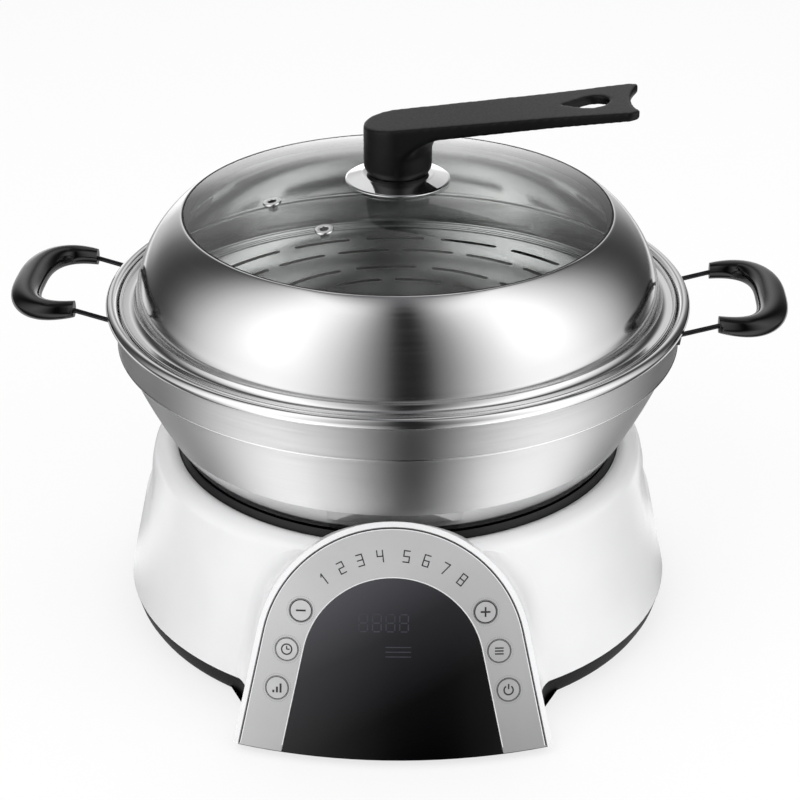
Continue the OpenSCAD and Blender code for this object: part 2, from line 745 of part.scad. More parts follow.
// Side view of the arm: sloping top, tapering underside and a fillet beside the hub
module arm_side() {
    far = arm_len + 10;
    round_x = hub_r + hub_fillet_r - 2;
    round_z = arm_under(round_x) - hub_fillet_r + shy;
    polygon([[0, arm_under(0)], [0, arm_top(0)], [far, arm_top(far)], [far, arm_under(far)]]);
    difference() {
        polygon([[0, round_z], [0, arm_top(0) - 1], [round_x, arm_top(round_x) - 1], [round_x, round_z]]);
        translate([round_x, round_z]) circle(r = hub_fillet_r);
    }
}

module lid_handle() color("black") rotate([0, 0, lid_turn]) difference() {
    union() {
        intersection() {
            translate([0, 0, hub_z]) rotate([0, 0, 180]) cylinder(r = hub_r, h = 2 * hub_h);
            rotate([90, 0, 0]) linear_extrude(4 * hub_r, center = true) polygon([[-2 * hub_r, hub_z - 1],
                [-2 * hub_r, arm_top(-2 * hub_r)], [2 * hub_r, arm_top(2 * hub_r)], [2 * hub_r, hub_z - 1]]);
        }
        intersection() {
            translate([0, 0, hub_z]) linear_extrude(2 * hub_h) arm_plan();
            rotate([90, 0, 0]) linear_extrude(2 * arm_tip_w, center = true) arm_side();
        }
    }
    translate([0, 0, hub_z - 1]) cylinder(r = handle_screw_r + 0.1, h = screw_len);
}

// Area inside the base's outline, drawn in by wall thickness t, from low up
module base_area(t, low) {
    foot = [foot_r - t, split_z];
    side = touch(foot, shoulder_c, shoulder_r - t - shy, 1);
    polygon([[0, low], [foot[0], low], foot, side, shoulder_c, [0, shoulder_c[1]]]);
    translate(shoulder_c) circle(r = shoulder_r - t);
}

// Moves children into the panel's own plane: x across, y up the slope, z out of it
module on_panel() translate([0, -panel_y, panel_foot_z]) rotate([90 - panel_tilt, 0, 0]) children();

// Arch with spreading sides, open downwards
module arch(r, c) {
    top = [r * cos(arch_spread), c + r * sin(arch_spread)];
    run = (top[1] + arch_c) / cos(arch_spread);
    low = top + run * [sin(arch_spread), -cos(arch_spread)];
    bow = [for (i = [0 : arch_steps])
        let (a = arch_spread + (180 - 2 * arch_spread) * i / arch_steps)
        [r * cos(a), c + r * sin(a)]];
    polygon(concat([low], bow, [[-low[0], low[1]]]));
}

// Everything behind the panel's bowed front face, moved out by grow
module behind_front(grow) translate([0, -tongue_depth, -front_r]) rotate([-90, 0, 0])
    cylinder(r = front_r + grow, h = 4 * tongue_depth, $fn = big_fn);

// Block behind the arch of radius r, bounded in front by the bowed face
module tongue_block(r, grow) on_panel() intersection() {
    translate([0, 0, -tongue_depth]) linear_extrude(2 * tongue_depth) arch(r, arch_c);
    behind_front(grow);
}

// Space from height low to height high
module between(low, high) translate([-2 * foot_r, -2 * foot_r, low])
    cube([4 * foot_r, 4 * foot_r, high - low]);

// Finger recess in each side, grown by grow
module recesses(grow) {
    mid_z = shoulder_z - recess_drop;
    mid_r = shoulder_c[0] + shoulder_r + (foot_r - shoulder_c[0] - shoulder_r)
        * (shoulder_c[1] - mid_z) / (shoulder_c[1] - split_z);
    for (s = [-1, 1]) translate([s * (mid_r + recess_r - recess_d), 0, mid_z])
        rotate([90, 0, 0]) cylinder(r = recess_r + grow, h = 2 * foot_r, center = true);
}

// Control nose before it is hollowed, clear of the pot and of the bottom cover
module nose_block() difference() {
    intersection() {
        tongue_block(nose_r, 0);
        between(skirt_z, rim_z);
    }
    rotate_extrude() bowl_area(tongue_gap, rim_z);
    cylinder(r = foot_r + cover_gap, h = split_z);
    translate([0, 0, -1]) cylinder(r = opening_r + wall, h = rim_z);
}

// Filling between the nose's side and the body, with a hollow face
module nose_filling() {
    rings = [for (i = [0 : fillet_levels - 1]) fillet_section(fillet_z(i))];
    tip = fillet_section(fillet_high)[fillet_steps + 2];
    sides = len(rings[0]);
    last = (fillet_levels - 1) * sides;
    polyhedron(
        points = concat([for (r = rings) each r], [tip]),
        faces = concat(
            [[for (i = [0 : sides - 1]) i]],
            [for (k = [0 : fillet_levels - 2], i = [0 : sides - 1])
                let (p = k * sides + i,
                     q = k * sides + (i + 1) % sides)
                each [[p, p + sides, q], [q, p + sides, q + sides]]],
            [for (i = [0 : sides - 1]) [last + i, last + sides, last + (i + 1) % sides]]));
}
module nose_fillings() {
    nose_filling();
    mirror([1, 0, 0]) nose_filling();
}

// Hollow of the flared body, leaving the shelf, its lip and pads behind the finger recesses
module body_hollow() difference() {
    rotate_extrude() difference() {
        base_area(wall, split_z - 1);
        translate([0, shelf_z - wall]) square([opening_r + wall, shelf_drop + wall]);
    }
    recesses(wall);
}

// White moulded housing: flared body, shelf for the black ring, sloping control nose and side recesses
module base_housing() color("white") difference() {
    union() {
        difference() {
            union() {
                rotate_extrude() base_area(0, split_z);
                nose_block();
            }
            body_hollow();
            intersection() {
                tongue_block(nose_r - wall, -panel_t - front_wall);
                between(0, hollow_top_z);
            }
            translate([0, 0, shelf_z]) cylinder(r = opening_r, h = shelf_drop + shoulder_r);
            cylinder(r = shelf_in_r, h = rim_z);
            on_panel() difference() {
                translate([0, 0, -panel_t - panel_cut])
                    linear_extrude(3 * panel_cut) arch(arch_r + panel_gap, arch_c);
                behind_front(-panel_t);
            }
            recesses(0);
        }
        difference() {
            nose_fillings();
            between(0, split_z);
        }
        for (a = boss_angles) rotate([0, 0, a]) translate([boss_at, 0, cover_floor_z + cover_gap])
            cylinder(r = boss_r, h = shelf_z - cover_floor_z - cover_gap - 0.5 * wall);
        on_panel() for (p = board_posts) translate([p[0], p[1], board_n])
            cylinder(r = post_r, h = front_n(p[0]) - panel_t - 0.5 * front_wall - board_n);
        translate([-inlet_w / 2 - hood_margin, hood_y - 4 * wall, inlet_z - inlet_h / 2 - hood_margin])
            cube([inlet_w + 2 * hood_margin, 4 * wall, inlet_h + 2 * hood_margin]);
    }
    on_panel() for (s = [-1, 1], p = keys) translate([s * p[0], p[1], board_n + 2])
        cylinder(r = key_r + key_flange + panel_gap, h = -board_n);
    on_panel() translate([display_at[0] - display_size[0] / 2 - panel_gap,
        display_at[1] - display_size[1] / 2 - panel_gap, board_n + 2])
        cube([display_size[0] + 2 * panel_gap, display_size[1] + 2 * panel_gap, -board_n]);
    on_panel() for (p = board_posts) translate([p[0], p[1], board_n - 1])
        cylinder(r = board_screw_r + screw_play, h = board_screw_l + 2);
    for (a = boss_angles) rotate([0, 0, a]) translate([boss_at, 0, 0])
        cylinder(r = cover_screw_r + screw_play, h = split_z + 10);
    translate([-inlet_w / 2 - cover_gap, hood_y - 2 * inlet_d, inlet_z - inlet_h / 2 - cover_gap])
        cube([inlet_w + 2 * cover_gap, 3 * inlet_d, inlet_h + 2 * cover_gap]);
}

// Black bottom cover: a dish with vents, and a floor under the control nose
module bottom_cover() color([0.1, 0.1, 0.1]) difference() {
    union() {
        rotate_extrude() difference() {
            polygon([[0, cover_z], [foot_r - 8, cover_z], [foot_r - 4.5, cover_z + 1.5],
                [foot_r - band_in, cover_z + band_knee], [foot_r, split_z - cover_gap],
                [0, split_z - cover_gap]]);
            polygon([[0, cover_floor_z], [foot_r - 9, cover_floor_z], [foot_r - 5, cover_z + 6],
                [foot_r - wall, split_z], [0, split_z]]);
        }
        intersection() {
            tongue_block(nose_r - wall - cover_gap, -panel_t - front_wall - cover_gap);
            between(cover_z, skirt_z - cover_gap);
            difference() {
                cylinder(r = 2 * foot_r, h = split_z);
                cylinder(r = foot_r - 9, h = split_z);
            }
        }
        difference() {
            nose_fillings();
            between(split_z - cover_gap, rim_z);
            tongue_block(nose_r + cover_gap, 1);
        }
        for (x = [-1, 1], y = [-1, 1])
            translate([board_at[0] + x * board_post_at[0], board_at[1] + y * board_post_at[1], cover_z])
                cylinder(r = board_post_r, h = board_z - cover_z);
    }
    for (a = boss_angles) rotate([0, 0, a]) translate([boss_at, 0, 0])
        cylinder(r = cover_screw_r + screw_play, h = split_z);
    for (s = [-1, 1], i = [0 : floor_vent_rows - 1])
        translate([s * floor_vent_at[0] - floor_vent_l / 2,
            floor_vent_at[1] + (i - (floor_vent_rows - 1) / 2) * floor_vent_pitch, 0])
            cube([floor_vent_l, floor_vent_w, cover_floor_z + 1]);
}

module rubber_feet() color([0.2, 0.2, 0.2]) for (a = pad_angles) rotate([0, 0, a])
    translate([pad_at, 0, 0]) cylinder(r1 = pad_r - 1, r2 = pad_r, h = pad_h);

// Screws up through the cover into the housing's bosses
module cover_screws() color("silver") for (a = boss_angles) rotate([0, 0, a])
    translate([boss_at, 0, cover_z]) {
        cylinder(r = cover_screw_r, h = cover_h + 6);
        translate([0, 0, -screw_head_h])
            cylinder(r1 = screw_head_r - 0.8, r2 = screw_head_r, h = screw_head_h);
    }

// Silver panel with its window and key openings
module control_panel() color("silver") difference() {
    intersection() {
        tongue_block(arch_r, 0);
        between(skirt_z, rim_z);
    }
    on_panel() {
        behind_front(-panel_t);
        translate([0, 0, -tongue_depth])
            linear_extrude(2 * tongue_depth) arch(window_r + panel_gap, window_c);
        for (s = [-1, 1], p = keys) translate([s * p[0], p[1], board_n])
            cylinder(r = key_r + panel_gap, h = -2 * board_n);
    }
}

module display_window() color("black") difference() {
    intersection() {
        on_panel() intersection() {
            translate([0, 0, -tongue_depth]) linear_extrude(2 * tongue_depth) arch(window_r, window_c);
            behind_front(0);
        }
        between(skirt_z, rim_z);
    }
    on_panel() behind_front(-panel_t);
}

// Display block between the board and the window
module display_module() color("dimgray") on_panel()
    translate([display_at[0] - display_size[0] / 2, display_at[1] - display_size[1] / 2, board_n])
        intersection() {
            cube([display_size[0], display_size[1], -board_n]);
            translate([display_size[0] / 2 - display_at[0], 0, -board_n]) behind_front(-panel_t - 0.3);
        }

// Control board with a push switch below each key
module control_board() color("darkgreen") on_panel() difference() {
    union() {
        translate([-board_low[0] / 2, board_foot, board_n - board_t])
            cube([board_low[0], board_low[1], board_t]);
        translate([-board_high[0] / 2, board_step, board_n - board_t])
            cube([board_high[0], board_high[1], board_t]);
        for (s = [-1, 1], p = keys) translate([s * p[0], p[1], board_n]) {
            translate([-switch_w / 2, -switch_w / 2, 0]) cube([switch_w, switch_w, switch_h]);
            cylinder(r = plunger_r, h = switch_h + plunger_h);
        }
    }
    for (p = board_posts) translate([p[0], p[1], board_n - 2 * board_t])
        cylinder(r = board_screw_r + 3 * screw_play, h = 3 * board_t);
}

module board_screws() color("silver") on_panel() for (p = board_posts)
    translate([p[0], p[1], board_n - board_t]) {
        cylinder(r = board_screw_r, h = board_screw_l);
        translate([0, 0, -board_screw_head_h]) cylinder(r = board_screw_head_r, h = board_screw_head_h);
    }

// Key cap with a retaining flange behind the panel and a stem above its switch
module key(u, w) color("silver") on_panel() {
    low = front_n(u) - key_cap_h;
    intersection() {
        union() {
            translate([u, w, low]) cylinder(r = key_r, h = 2 * key_cap_h);
            intersection() {
                translate([u, w, low]) cylinder(r = key_r + key_flange, h = key_cap_h);
                behind_front(-panel_t - panel_gap);
            }
        }
        behind_front(key_proud);
    }
    translate([u, w, board_n + switch_h + plunger_h + stem_gap])
        cylinder(r = key_stem_r, h = low - board_n - switch_h - plunger_h - stem_gap + 0.5);
}

module key_minus() key(-keys[0][0], keys[0][1]);
module key_time() key(-keys[1][0], keys[1][1]);
module key_level() key(-keys[2][0], keys[2][1]);
module key_plus() key(keys[0][0], keys[0][1]);
module key_menu() key(keys[1][0], keys[1][1]);
module key_power() key(keys[2][0], keys[2][1]);

// Black heatproof ring on the shelf, cut back from the pot all round
module support_ring() color([0.15, 0.15, 0.15]) rotate_extrude() difference() {
    polygon([[shelf_in_r + 0.3, shelf_z], [opening_r - cover_gap, shelf_z],
        [opening_r - cover_gap, shelf_z + shelf_drop - 2], [opening_r - ring_w, ring_z],
        [opening_r - 2 * ring_w, ring_z], [shelf_in_r + 0.3, shelf_z + wall]]);
    bowl_area(ring_gap, rim_z);
}

// Pressed steel pan below the pot, hung from the shelf
module inner_pan() color("gray") difference() {
    rotate_extrude() {
        translate([pan_r - sheet, shelf_z - wall - sheet]) square([pan_flange_w + sheet, sheet]);
        translate([pan_r - sheet, pan_floor_z]) square([sheet, shelf_z - wall - pan_floor_z]);
        translate([0, pan_floor_z]) square([pan_r, sheet]);
    }
    translate([0, 0, pan_floor_z - 1]) cylinder(r = holder_r + 0.2, h = 3);
    for (a = leg_angles) rotate([0, 0, a]) translate([leg_at, 0, pan_floor_z - 1])
        cylinder(r = leg_screw_r + 0.25, h = 3);
    for (s = [-1, 1]) rotate([0, 0, 270 + s * (tube_span / 2 - tube_end)])
        translate([tube_at, 0, pan_floor_z - 1]) cylinder(r = tube_r + 1, h = 3);
    for (a = pan_screw_angles) rotate([0, 0, a])
        translate([pan_r + pan_flange_w / 2, 0, shelf_z - wall - 2 * sheet])
            cylinder(r = pan_screw_r, h = 3 * sheet);
}

module pan_screws() color("silver") for (a = pan_screw_angles) rotate([0, 0, a])
    translate([pan_r + pan_flange_w / 2, 0, shelf_z - wall - sheet - pan_screw_head_h])
        cylinder(r = pan_screw_head_r, h = pan_screw_head_h);

// Heating tube: an open ring with two ends turned down
module heating_element() color("dimgray") rotate([0, 0, 270 - tube_span / 2]) {
    rotate_extrude(angle = tube_span) translate([tube_at, tube_z]) circle(r = tube_r, $fn = 48);
    for (a = [tube_end, tube_span - tube_end]) rotate([0, 0, a]) translate([tube_at, 0, tube_z - tube_leg])
        cylinder(r = tube_r - 0.8, h = tube_leg);
}

// Cast plate with three legs, a groove for the heating tube and a hole for the sensor
module heating_plate() color("silver") difference() {
    union() {
        translate([0, 0, plate_z - plate_t]) cylinder(r = plate_r, h = plate_t);
        for (a = leg_angles) rotate([0, 0, a]) translate([leg_at, 0, pan_floor_z + sheet])
            cylinder(r = leg_r, h = plate_air + 1);
    }
    translate([0, 0, plate_z - 2 * plate_t]) cylinder(r = sensor_hole_r, h = 3 * plate_t);
    rotate_extrude() translate([tube_at, tube_z]) circle(r = tube_r + 0.1, $fn = 48);
    for (a = leg_angles) rotate([0, 0, a]) translate([leg_at, 0, pan_floor_z])
        cylinder(r = leg_screw_r + 0.05, h = leg_screw_l + 1);
}

module plate_screws() color("silver") for (a = leg_angles) rotate([0, 0, a])
    translate([leg_at, 0, pan_floor_z]) {
        cylinder(r = leg_screw_r, h = leg_screw_l);
        translate([0, 0, -leg_screw_head_h]) cylinder(r = leg_screw_head_r, h = leg_screw_head_h);
    }

// Bush in the pan's floor that guides the sensor's stem
module sensor_holder() color("gray") translate([0, 0, pan_floor_z]) difference() {
    union() {
        translate([0, 0, -4]) cylinder(r = holder_r, h = 4 + sheet + holder_t);
        translate([0, 0, sheet]) cylinder(r = holder_flange_r, h = holder_t);
    }
    translate([0, 0, -5]) cylinder(r = stem_r + stem_play, h = 20);
}

// Coil spring as one tube of six sides between the bush and the cap
module sensor_spring() color("silver") {
    steps = spring_turns * 12;
    sides = 6;
    pts = [for (k = [0 : steps], i = [0 : sides - 1])
        let (a = 360 * k / 12,
             b = 360 * i / sides,
             r = spring_r + spring_wire_r * cos(b))
        [r * cos(a), r * sin(a), spring_low + (spring_high - spring_low) * k / steps + spring_wire_r * sin(b)]];
    polyhedron(points = pts, faces = concat(
        [[for (i = [0 : sides - 1]) i]],
        [for (k = [0 : steps - 1], i = [0 : sides - 1])
            let (p = k * sides + i,
                 q = k * sides + (i + 1) % sides)
            each [[p, p + sides, q], [q, p + sides, q + sides]]],
        [[for (i = [sides - 1 : -1 : 0]) steps * sides + i]]));
}

// Sprung sensor: a cap against the pot's bottom, a stem and a stop below the bush
module temperature_sensor() color("gainsboro") {
    stop_z = pan_floor_z - 4 - sensor_rise - 0.3;
    difference() {
        translate([0, 0, plate_z - cap_h]) cylinder(r = sensor_r, h = cap_h);
        translate([0, 0, plate_z - cap_h - 1]) cylinder(r = sensor_r - 1, h = cap_h - cap_t + 1);
    }
    translate([0, 0, stop_z - 1.5]) cylinder(r = stem_r, h = plate_z - 1 - stop_z + 1.5);
    translate([0, 0, stop_z - 1.5]) cylinder(r = stem_r + 2, h = 1.5);
}

// Power board on the cover's posts, with its transformer, relay, capacitor and heat sink
module power_board() color("darkgreen") translate([board_at[0], board_at[1], board_z]) {
    translate([-board_size[0] / 2, -board_size[1] / 2, 0]) cube([board_size[0], board_size[1], board_t]);
    translate([transformer_at[0], transformer_at[1], board_t]) cube(transformer);
    translate([relay_at[0], relay_at[1], board_t]) cube(relay);
    translate([heat_sink_at[0], heat_sink_at[1], board_t]) cube(heat_sink);
    translate([capacitor_at[0], capacitor_at[1], board_t]) cylinder(r = capacitor_r, h = capacitor_h);
}

// Mains inlet in the hood at the back
module power_inlet() color([0.12, 0.12, 0.12]) difference() {
    union() {
        translate([-inlet_w / 2, hood_y - inlet_d, inlet_z - inlet_h / 2]) cube([inlet_w, inlet_d, inlet_h]);
        translate([-inlet_w / 2 - inlet_lip, hood_y, inlet_z - inlet_h / 2 - inlet_lip])
            cube([inlet_w + 2 * inlet_lip, inlet_t, inlet_h + 2 * inlet_lip]);
    }
    translate([-socket_w / 2, hood_y + inlet_t - socket_d, inlet_z - socket_h / 2])
        cube([socket_w, 2 * socket_d, socket_h]);
}

module inlet_pins() color("silver") for (p = pin_at)
    translate([p[0] - pin_w / 2, hood_y + inlet_t - socket_d, inlet_z + p[1] - pin_h / 2])
        cube([pin_w, pin_d, pin_h]);

base_housing();
bottom_cover();
rubber_feet();
cover_screws();
control_panel();
display_window();
display_module();
control_board();
board_screws();
key_minus();
key_time();
key_level();
key_plus();
key_menu();
key_power();
support_ring();
inner_pan();
pan_screws();
heating_plate();
heating_element();
plate_screws();
sensor_holder();
sensor_spring();
temperature_sensor();
power_board();
power_inlet();
inlet_pins();
pot_shell();
pot_base_disc();
left_lugs();
left_wires();
left_grip();
right_lugs();
right_wires();
right_grip();
steamer_tray();
lid_shell();
glass_seal();
lid_glass();
vent_eyelets();
handle_seat();
handle_gaskets();
handle_washer();
handle_screw();
lid_handle();
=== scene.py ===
import json
import math

import bmesh
import bpy
from mathutils import Matrix, Vector


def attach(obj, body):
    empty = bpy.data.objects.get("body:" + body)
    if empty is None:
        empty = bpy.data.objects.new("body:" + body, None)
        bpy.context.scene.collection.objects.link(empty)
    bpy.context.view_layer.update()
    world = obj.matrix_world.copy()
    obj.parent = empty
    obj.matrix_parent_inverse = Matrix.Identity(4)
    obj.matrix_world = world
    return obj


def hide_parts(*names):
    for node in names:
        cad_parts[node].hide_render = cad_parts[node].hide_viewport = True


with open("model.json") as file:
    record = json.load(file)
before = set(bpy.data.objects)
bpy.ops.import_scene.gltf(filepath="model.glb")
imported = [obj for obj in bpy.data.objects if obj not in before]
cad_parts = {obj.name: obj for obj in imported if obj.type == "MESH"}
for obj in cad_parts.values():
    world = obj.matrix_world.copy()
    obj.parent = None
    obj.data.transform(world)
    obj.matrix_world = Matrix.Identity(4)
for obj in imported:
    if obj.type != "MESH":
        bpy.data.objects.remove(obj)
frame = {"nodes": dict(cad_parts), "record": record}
nodes = frame["nodes"]
record = frame["record"]
nodeBody = {node: body for body, group in record["behaviour"]["bodies"].items() for node in group}
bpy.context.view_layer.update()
scene = bpy.context.scene
print("frame loaded")


def linear(text):
    parts = [int(text[i:i + 2], 16) / 255 for i in (1, 3, 5)]
    return tuple(c / 12.92 if c <= 0.04045 else ((c + 0.055) / 1.055) ** 2.4 for c in parts) + (1.0,)


# settings are node properties or sockets, links are sockets fed by an output or by a node's first output
def addNode(tree, kind, settings=None, links=None):
    node = tree.nodes.new(kind)
    for key, value in (settings or {}).items():
        if isinstance(key, str) and key not in node.inputs and hasattr(node, key):
            setattr(node, key, value)
        else:
            node.inputs[key].default_value = value
    for key, source in (links or {}).items():
        tree.links.new(source.outputs[0] if isinstance(source, bpy.types.Node) else source, node.inputs[key])
    return node


def newMaterial(name):
    material = bpy.data.materials.new(name)
    material.use_nodes = True
    material.node_tree.nodes.clear()
    return material, material.node_tree


def setRamp(ramp, stops):
    elements = ramp.color_ramp.elements
    while len(elements) < len(stops):
        elements.new(0.5)
    for element, (place, colour) in zip(elements, stops):
        element.position = place
        element.color = linear(colour)


# lathe lines run round the axis: the pattern sees radius, height and a slow turn
def turnedPlaces(tree, coords):
    split = addNode(tree, "ShaderNodeSeparateXYZ", {}, {"Vector": coords})
    flat = addNode(tree, "ShaderNodeCombineXYZ", {}, {"X": split.outputs["X"], "Y": split.outputs["Y"]})
    away = addNode(tree, "ShaderNodeVectorMath", {"operation": "LENGTH"}, {0: flat})
    angle = addNode(tree, "ShaderNodeMath", {"operation": "ARCTAN2"}, {0: split.outputs["Y"], 1: split.outputs["X"]})
    slow = addNode(tree, "ShaderNodeMath", {"operation": "MULTIPLY", 1: 0.003}, {0: angle})
    return addNode(tree, "ShaderNodeCombineXYZ", {}, {
        "X": away.outputs["Value"], "Y": split.outputs["Z"], "Z": slow}).outputs["Vector"]


# painted shade: the colour grows darker down the slope and to the right
def paintShade(tree, coords, colour, fade):
    split = addNode(tree, "ShaderNodeSeparateXYZ", {}, {"Vector": coords})
    level = addNode(tree, "ShaderNodeMath", {"operation": "MULTIPLY_ADD", 1: -fade["side"]},
                    {0: split.outputs["X"], 2: split.outputs["Z"]})
    dim = addNode(tree, "ShaderNodeMapRange", {
        "From Min": fade["low"], "From Max": fade["high"], "To Min": fade["dark"], "To Max": 1.0},
        {"Value": level})
    return addNode(tree, "ShaderNodeVectorMath", {"operation": "SCALE"},
                   {0: colour, "Scale": dim}).outputs["Vector"]


# colours drift over patchMm, roughness and relief follow a grain of grainMm, brushing runs round the axis
def surface(name, colours, rough, patchMm, grainMm, relief=0.0, metallic=0.0, coat=0.0, turned=False, brushed=0.0,
            shine=0.5, fade=None):
    material, tree = newMaterial(name)
    coords = addNode(tree, "ShaderNodeTexCoord").outputs["Object"]
    places = turnedPlaces(tree, coords) if turned else coords
    patch = addNode(tree, "ShaderNodeTexNoise", {"Scale": 1000 / patchMm, "Detail": 2.0}, {"Vector": coords})
    grain = addNode(tree, "ShaderNodeTexNoise", {"Scale": 1000 / grainMm, "Detail": 3.0}, {"Vector": places})
    tint = addNode(tree, "ShaderNodeValToRGB", {}, {"Fac": patch})
    setRamp(tint, [(0.3, colours[0]), (0.7, colours[1])])
    colour = paintShade(tree, coords, tint, fade) if fade else tint.outputs["Color"]
    gloss = addNode(tree, "ShaderNodeMapRange", {
        "From Min": 0.3, "From Max": 0.7, "To Min": rough[0], "To Max": rough[1]}, {"Value": grain})
    shader = addNode(tree, "ShaderNodeBsdfPrincipled", {
        "Metallic": metallic, "Specular IOR Level": shine, "Coat Weight": coat, "Coat Roughness": 0.06,
        "Anisotropic": brushed, "Anisotropic Rotation": 0.25}, {
        "Base Color": colour, "Roughness": gloss})
    if brushed:
        around = addNode(tree, "ShaderNodeTangent", {"direction_type": "RADIAL", "axis": "Z"})
        tree.links.new(around.outputs["Tangent"], shader.inputs["Tangent"])
    if relief:
        bump = addNode(tree, "ShaderNodeBump", {"Strength": relief, "Distance": 0.00005}, {"Height": grain})
        tree.links.new(bump.outputs["Normal"], shader.inputs["Normal"])
    addNode(tree, "ShaderNodeOutputMaterial", {}, {"Surface": shader})
    return material


# white ABS, moulded against a polished tool: bright, with a soft even gloss
whiteAbs = surface("whiteAbs", ("#ececed", "#f2f2f3"), (0.20, 0.27), 60, 1.1, 0.04, coat=0.2)
# black polypropylene with a spark-eroded grain: dull, with broken highlights
grainedPolypropylene = surface("grainedPolypropylene", ("#070708", "#0b0b0c"), (0.46, 0.58), 40, 0.8, 0.3, shine=0.08)
# glass-filled nylon: black, satin, slightly grainy
filledNylon = surface("filledNylon", ("#0c0c0d", "#111112"), (0.30, 0.42), 30, 0.9, 0.2, shine=0.3)
# phenolic resin from a dull mould, the lid handle: deep black with a broad satin sheen
phenolicResin = surface("phenolicResin", ("#060607", "#0a0a0b"), (0.36, 0.44), 35, 1.4, 0.05, shine=0.22)
# phenolic resin from a polished mould, the side grips: black with crisp highlights
polishedResin = surface("polishedResin", ("#040405", "#070708"), (0.16, 0.22), 35, 1.4, 0.02, coat=0.75, shine=0.05)
# silver lacquer with metal flake over plastic: light grey with a fine sparkle
# painted shade on the panel and keys: darker towards the lower right
panelPaintedShade = {"side": 0.35, "low": -0.02, "high": 0.1, "dark": 0.58}
flakeLacquer = surface("flakeLacquer", ("#c0c0c1", "#c8c8c9"), (0.34, 0.46), 45, 0.4, 0.15, 0.25, 0.3, fade=panelPaintedShade)
# the keys' lacquer, rubbed a little brighter by fingers, with the panel's painted shade
keyLacquer = surface("keyLacquer", ("#c4c4c5", "#cccccd"), (0.30, 0.40), 8, 0.4, 0.12, 0.25, 0.3, fade=panelPaintedShade)
# polystyrene of the display block: grey and plain
greyPolystyrene = surface("greyPolystyrene", ("#56575a", "#626367"), (0.45, 0.60), 20, 1.6, 0.2)
# solder resist on glass fibre: green with the weave just showing
solderResist = surface("solderResist", ("#1c4f2c", "#2b6a3c"), (0.35, 0.50), 12, 0.9, 0.3)
# moulded rubber: dull and dark
mouldedRubber = surface("mouldedRubber", ("#1d1d1d", "#262626"), (0.70, 0.85), 9, 1.0, 0.4)
# zinc plated steel: bluish grey, half bright
zincPlate = surface("zincPlate", ("#9c9da0", "#b2b3b5"), (0.25, 0.40), 4, 0.8, 0.1, metallic=1.0)
# aluminised sheet, pressed: satin grey with drawing marks round it
aluminisedSheet = surface("aluminisedSheet", ("#97979a", "#aaaaab"), (0.34, 0.50), 35, 2.2, 0.15, 1.0, turned=True)
# cast aluminium, faced on a lathe: rings of tool marks
facedAluminium = surface("facedAluminium", ("#a8a8a8", "#bababa"), (0.30, 0.42), 30, 1.1, 0.35, 1.0, turned=True)
# heating tube sheath, oxidised brown-grey
oxidisedSheath = surface("oxidisedSheath", ("#3a3733", "#4c4741"), (0.45, 0.60), 10, 1.6, 0.3, metallic=0.7)
# spring steel wire, drawn bright: smooth grey
springWire = surface("springWire", ("#8f9092", "#a6a7a9"), (0.22, 0.35), 5, 0.7, 0.1, metallic=1.0)
# nickel plated brass: warm silver
nickelPlate = surface("nickelPlate", ("#b8b09a", "#c6bfa9"), (0.20, 0.30), 5, 0.9, 0.05, metallic=1.0)
# stainless steel of the pot, brushed round its axis: lights stretch into upright streaks
satinStainless = surface("satinStainless", ("#dedede", "#e5e5e5"), (0.46, 0.54), 70, 0.9, 0.04, 1.0, turned=True,
                         brushed=1.0)
# stainless steel of the lid, mirror polished with faint rings
mirrorStainless = surface("mirrorStainless", ("#d8d8d8", "#dfdfdf"), (0.10, 0.14), 80, 1.2, 0.03, 1.0, turned=True)
# stainless steel of the tray, bright as pressed
brightStainless = surface("brightStainless", ("#dcdcdc", "#e4e4e4"), (0.13, 0.16), 50, 6.0, 0.0, 1.0)
# painted highlight: a pale line drawn flat on the panel, standing for the light caught where its edge turns over
paintedEdgeHighlight = surface("paintedEdgeHighlight", ("#e2e2e3", "#ebebec"), (0.3, 0.38), 3, 0.5)
# stainless steel buffed to a clean mirror, for rolled and pressed edges
buffedStainless = surface("buffedStainless", ("#dcdcdc", "#e3e3e3"), (0.05, 0.08), 40, 3.0, 0.0, 1.0)
# drawn stainless wire: thin and dark, with a fine bright edge
drawnWire = surface("drawnWire", ("#2e2e30", "#404043"), (0.25, 0.38), 6, 0.7, 0.1, metallic=1.0)
# chrome plate: a clean mirror
chromePlate = surface("chromePlate", ("#e4e4e5", "#ececed"), (0.03, 0.07), 14, 3.0, metallic=1.0)
# black silicone under the glass: a thin dark line round its edge
blackSilicone = surface("blackSilicone", ("#1c1c1d", "#252526"), (0.50, 0.65), 12, 1.0, 0.1, shine=0.2)
# grey silicone of the washers: dull and even
greySilicone = surface("greySilicone", ("#8a8a8a", "#989898"), (0.50, 0.65), 8, 1.0, 0.2)
# screen printed ink: flat dark grey
screenInk = surface("screenInk", ("#19191a", "#222223"), (0.42, 0.52), 3, 0.5)
# dotted rings printed in a paler ink
paleInk = surface("paleInk", ("#77787a", "#828385"), (0.42, 0.52), 3, 0.5)
# unlit display segments, a shade lighter than the window
unlitSegment = surface("unlitSegment", ("#3a3a41", "#42424a"), (0.12, 0.20), 6, 0.8)
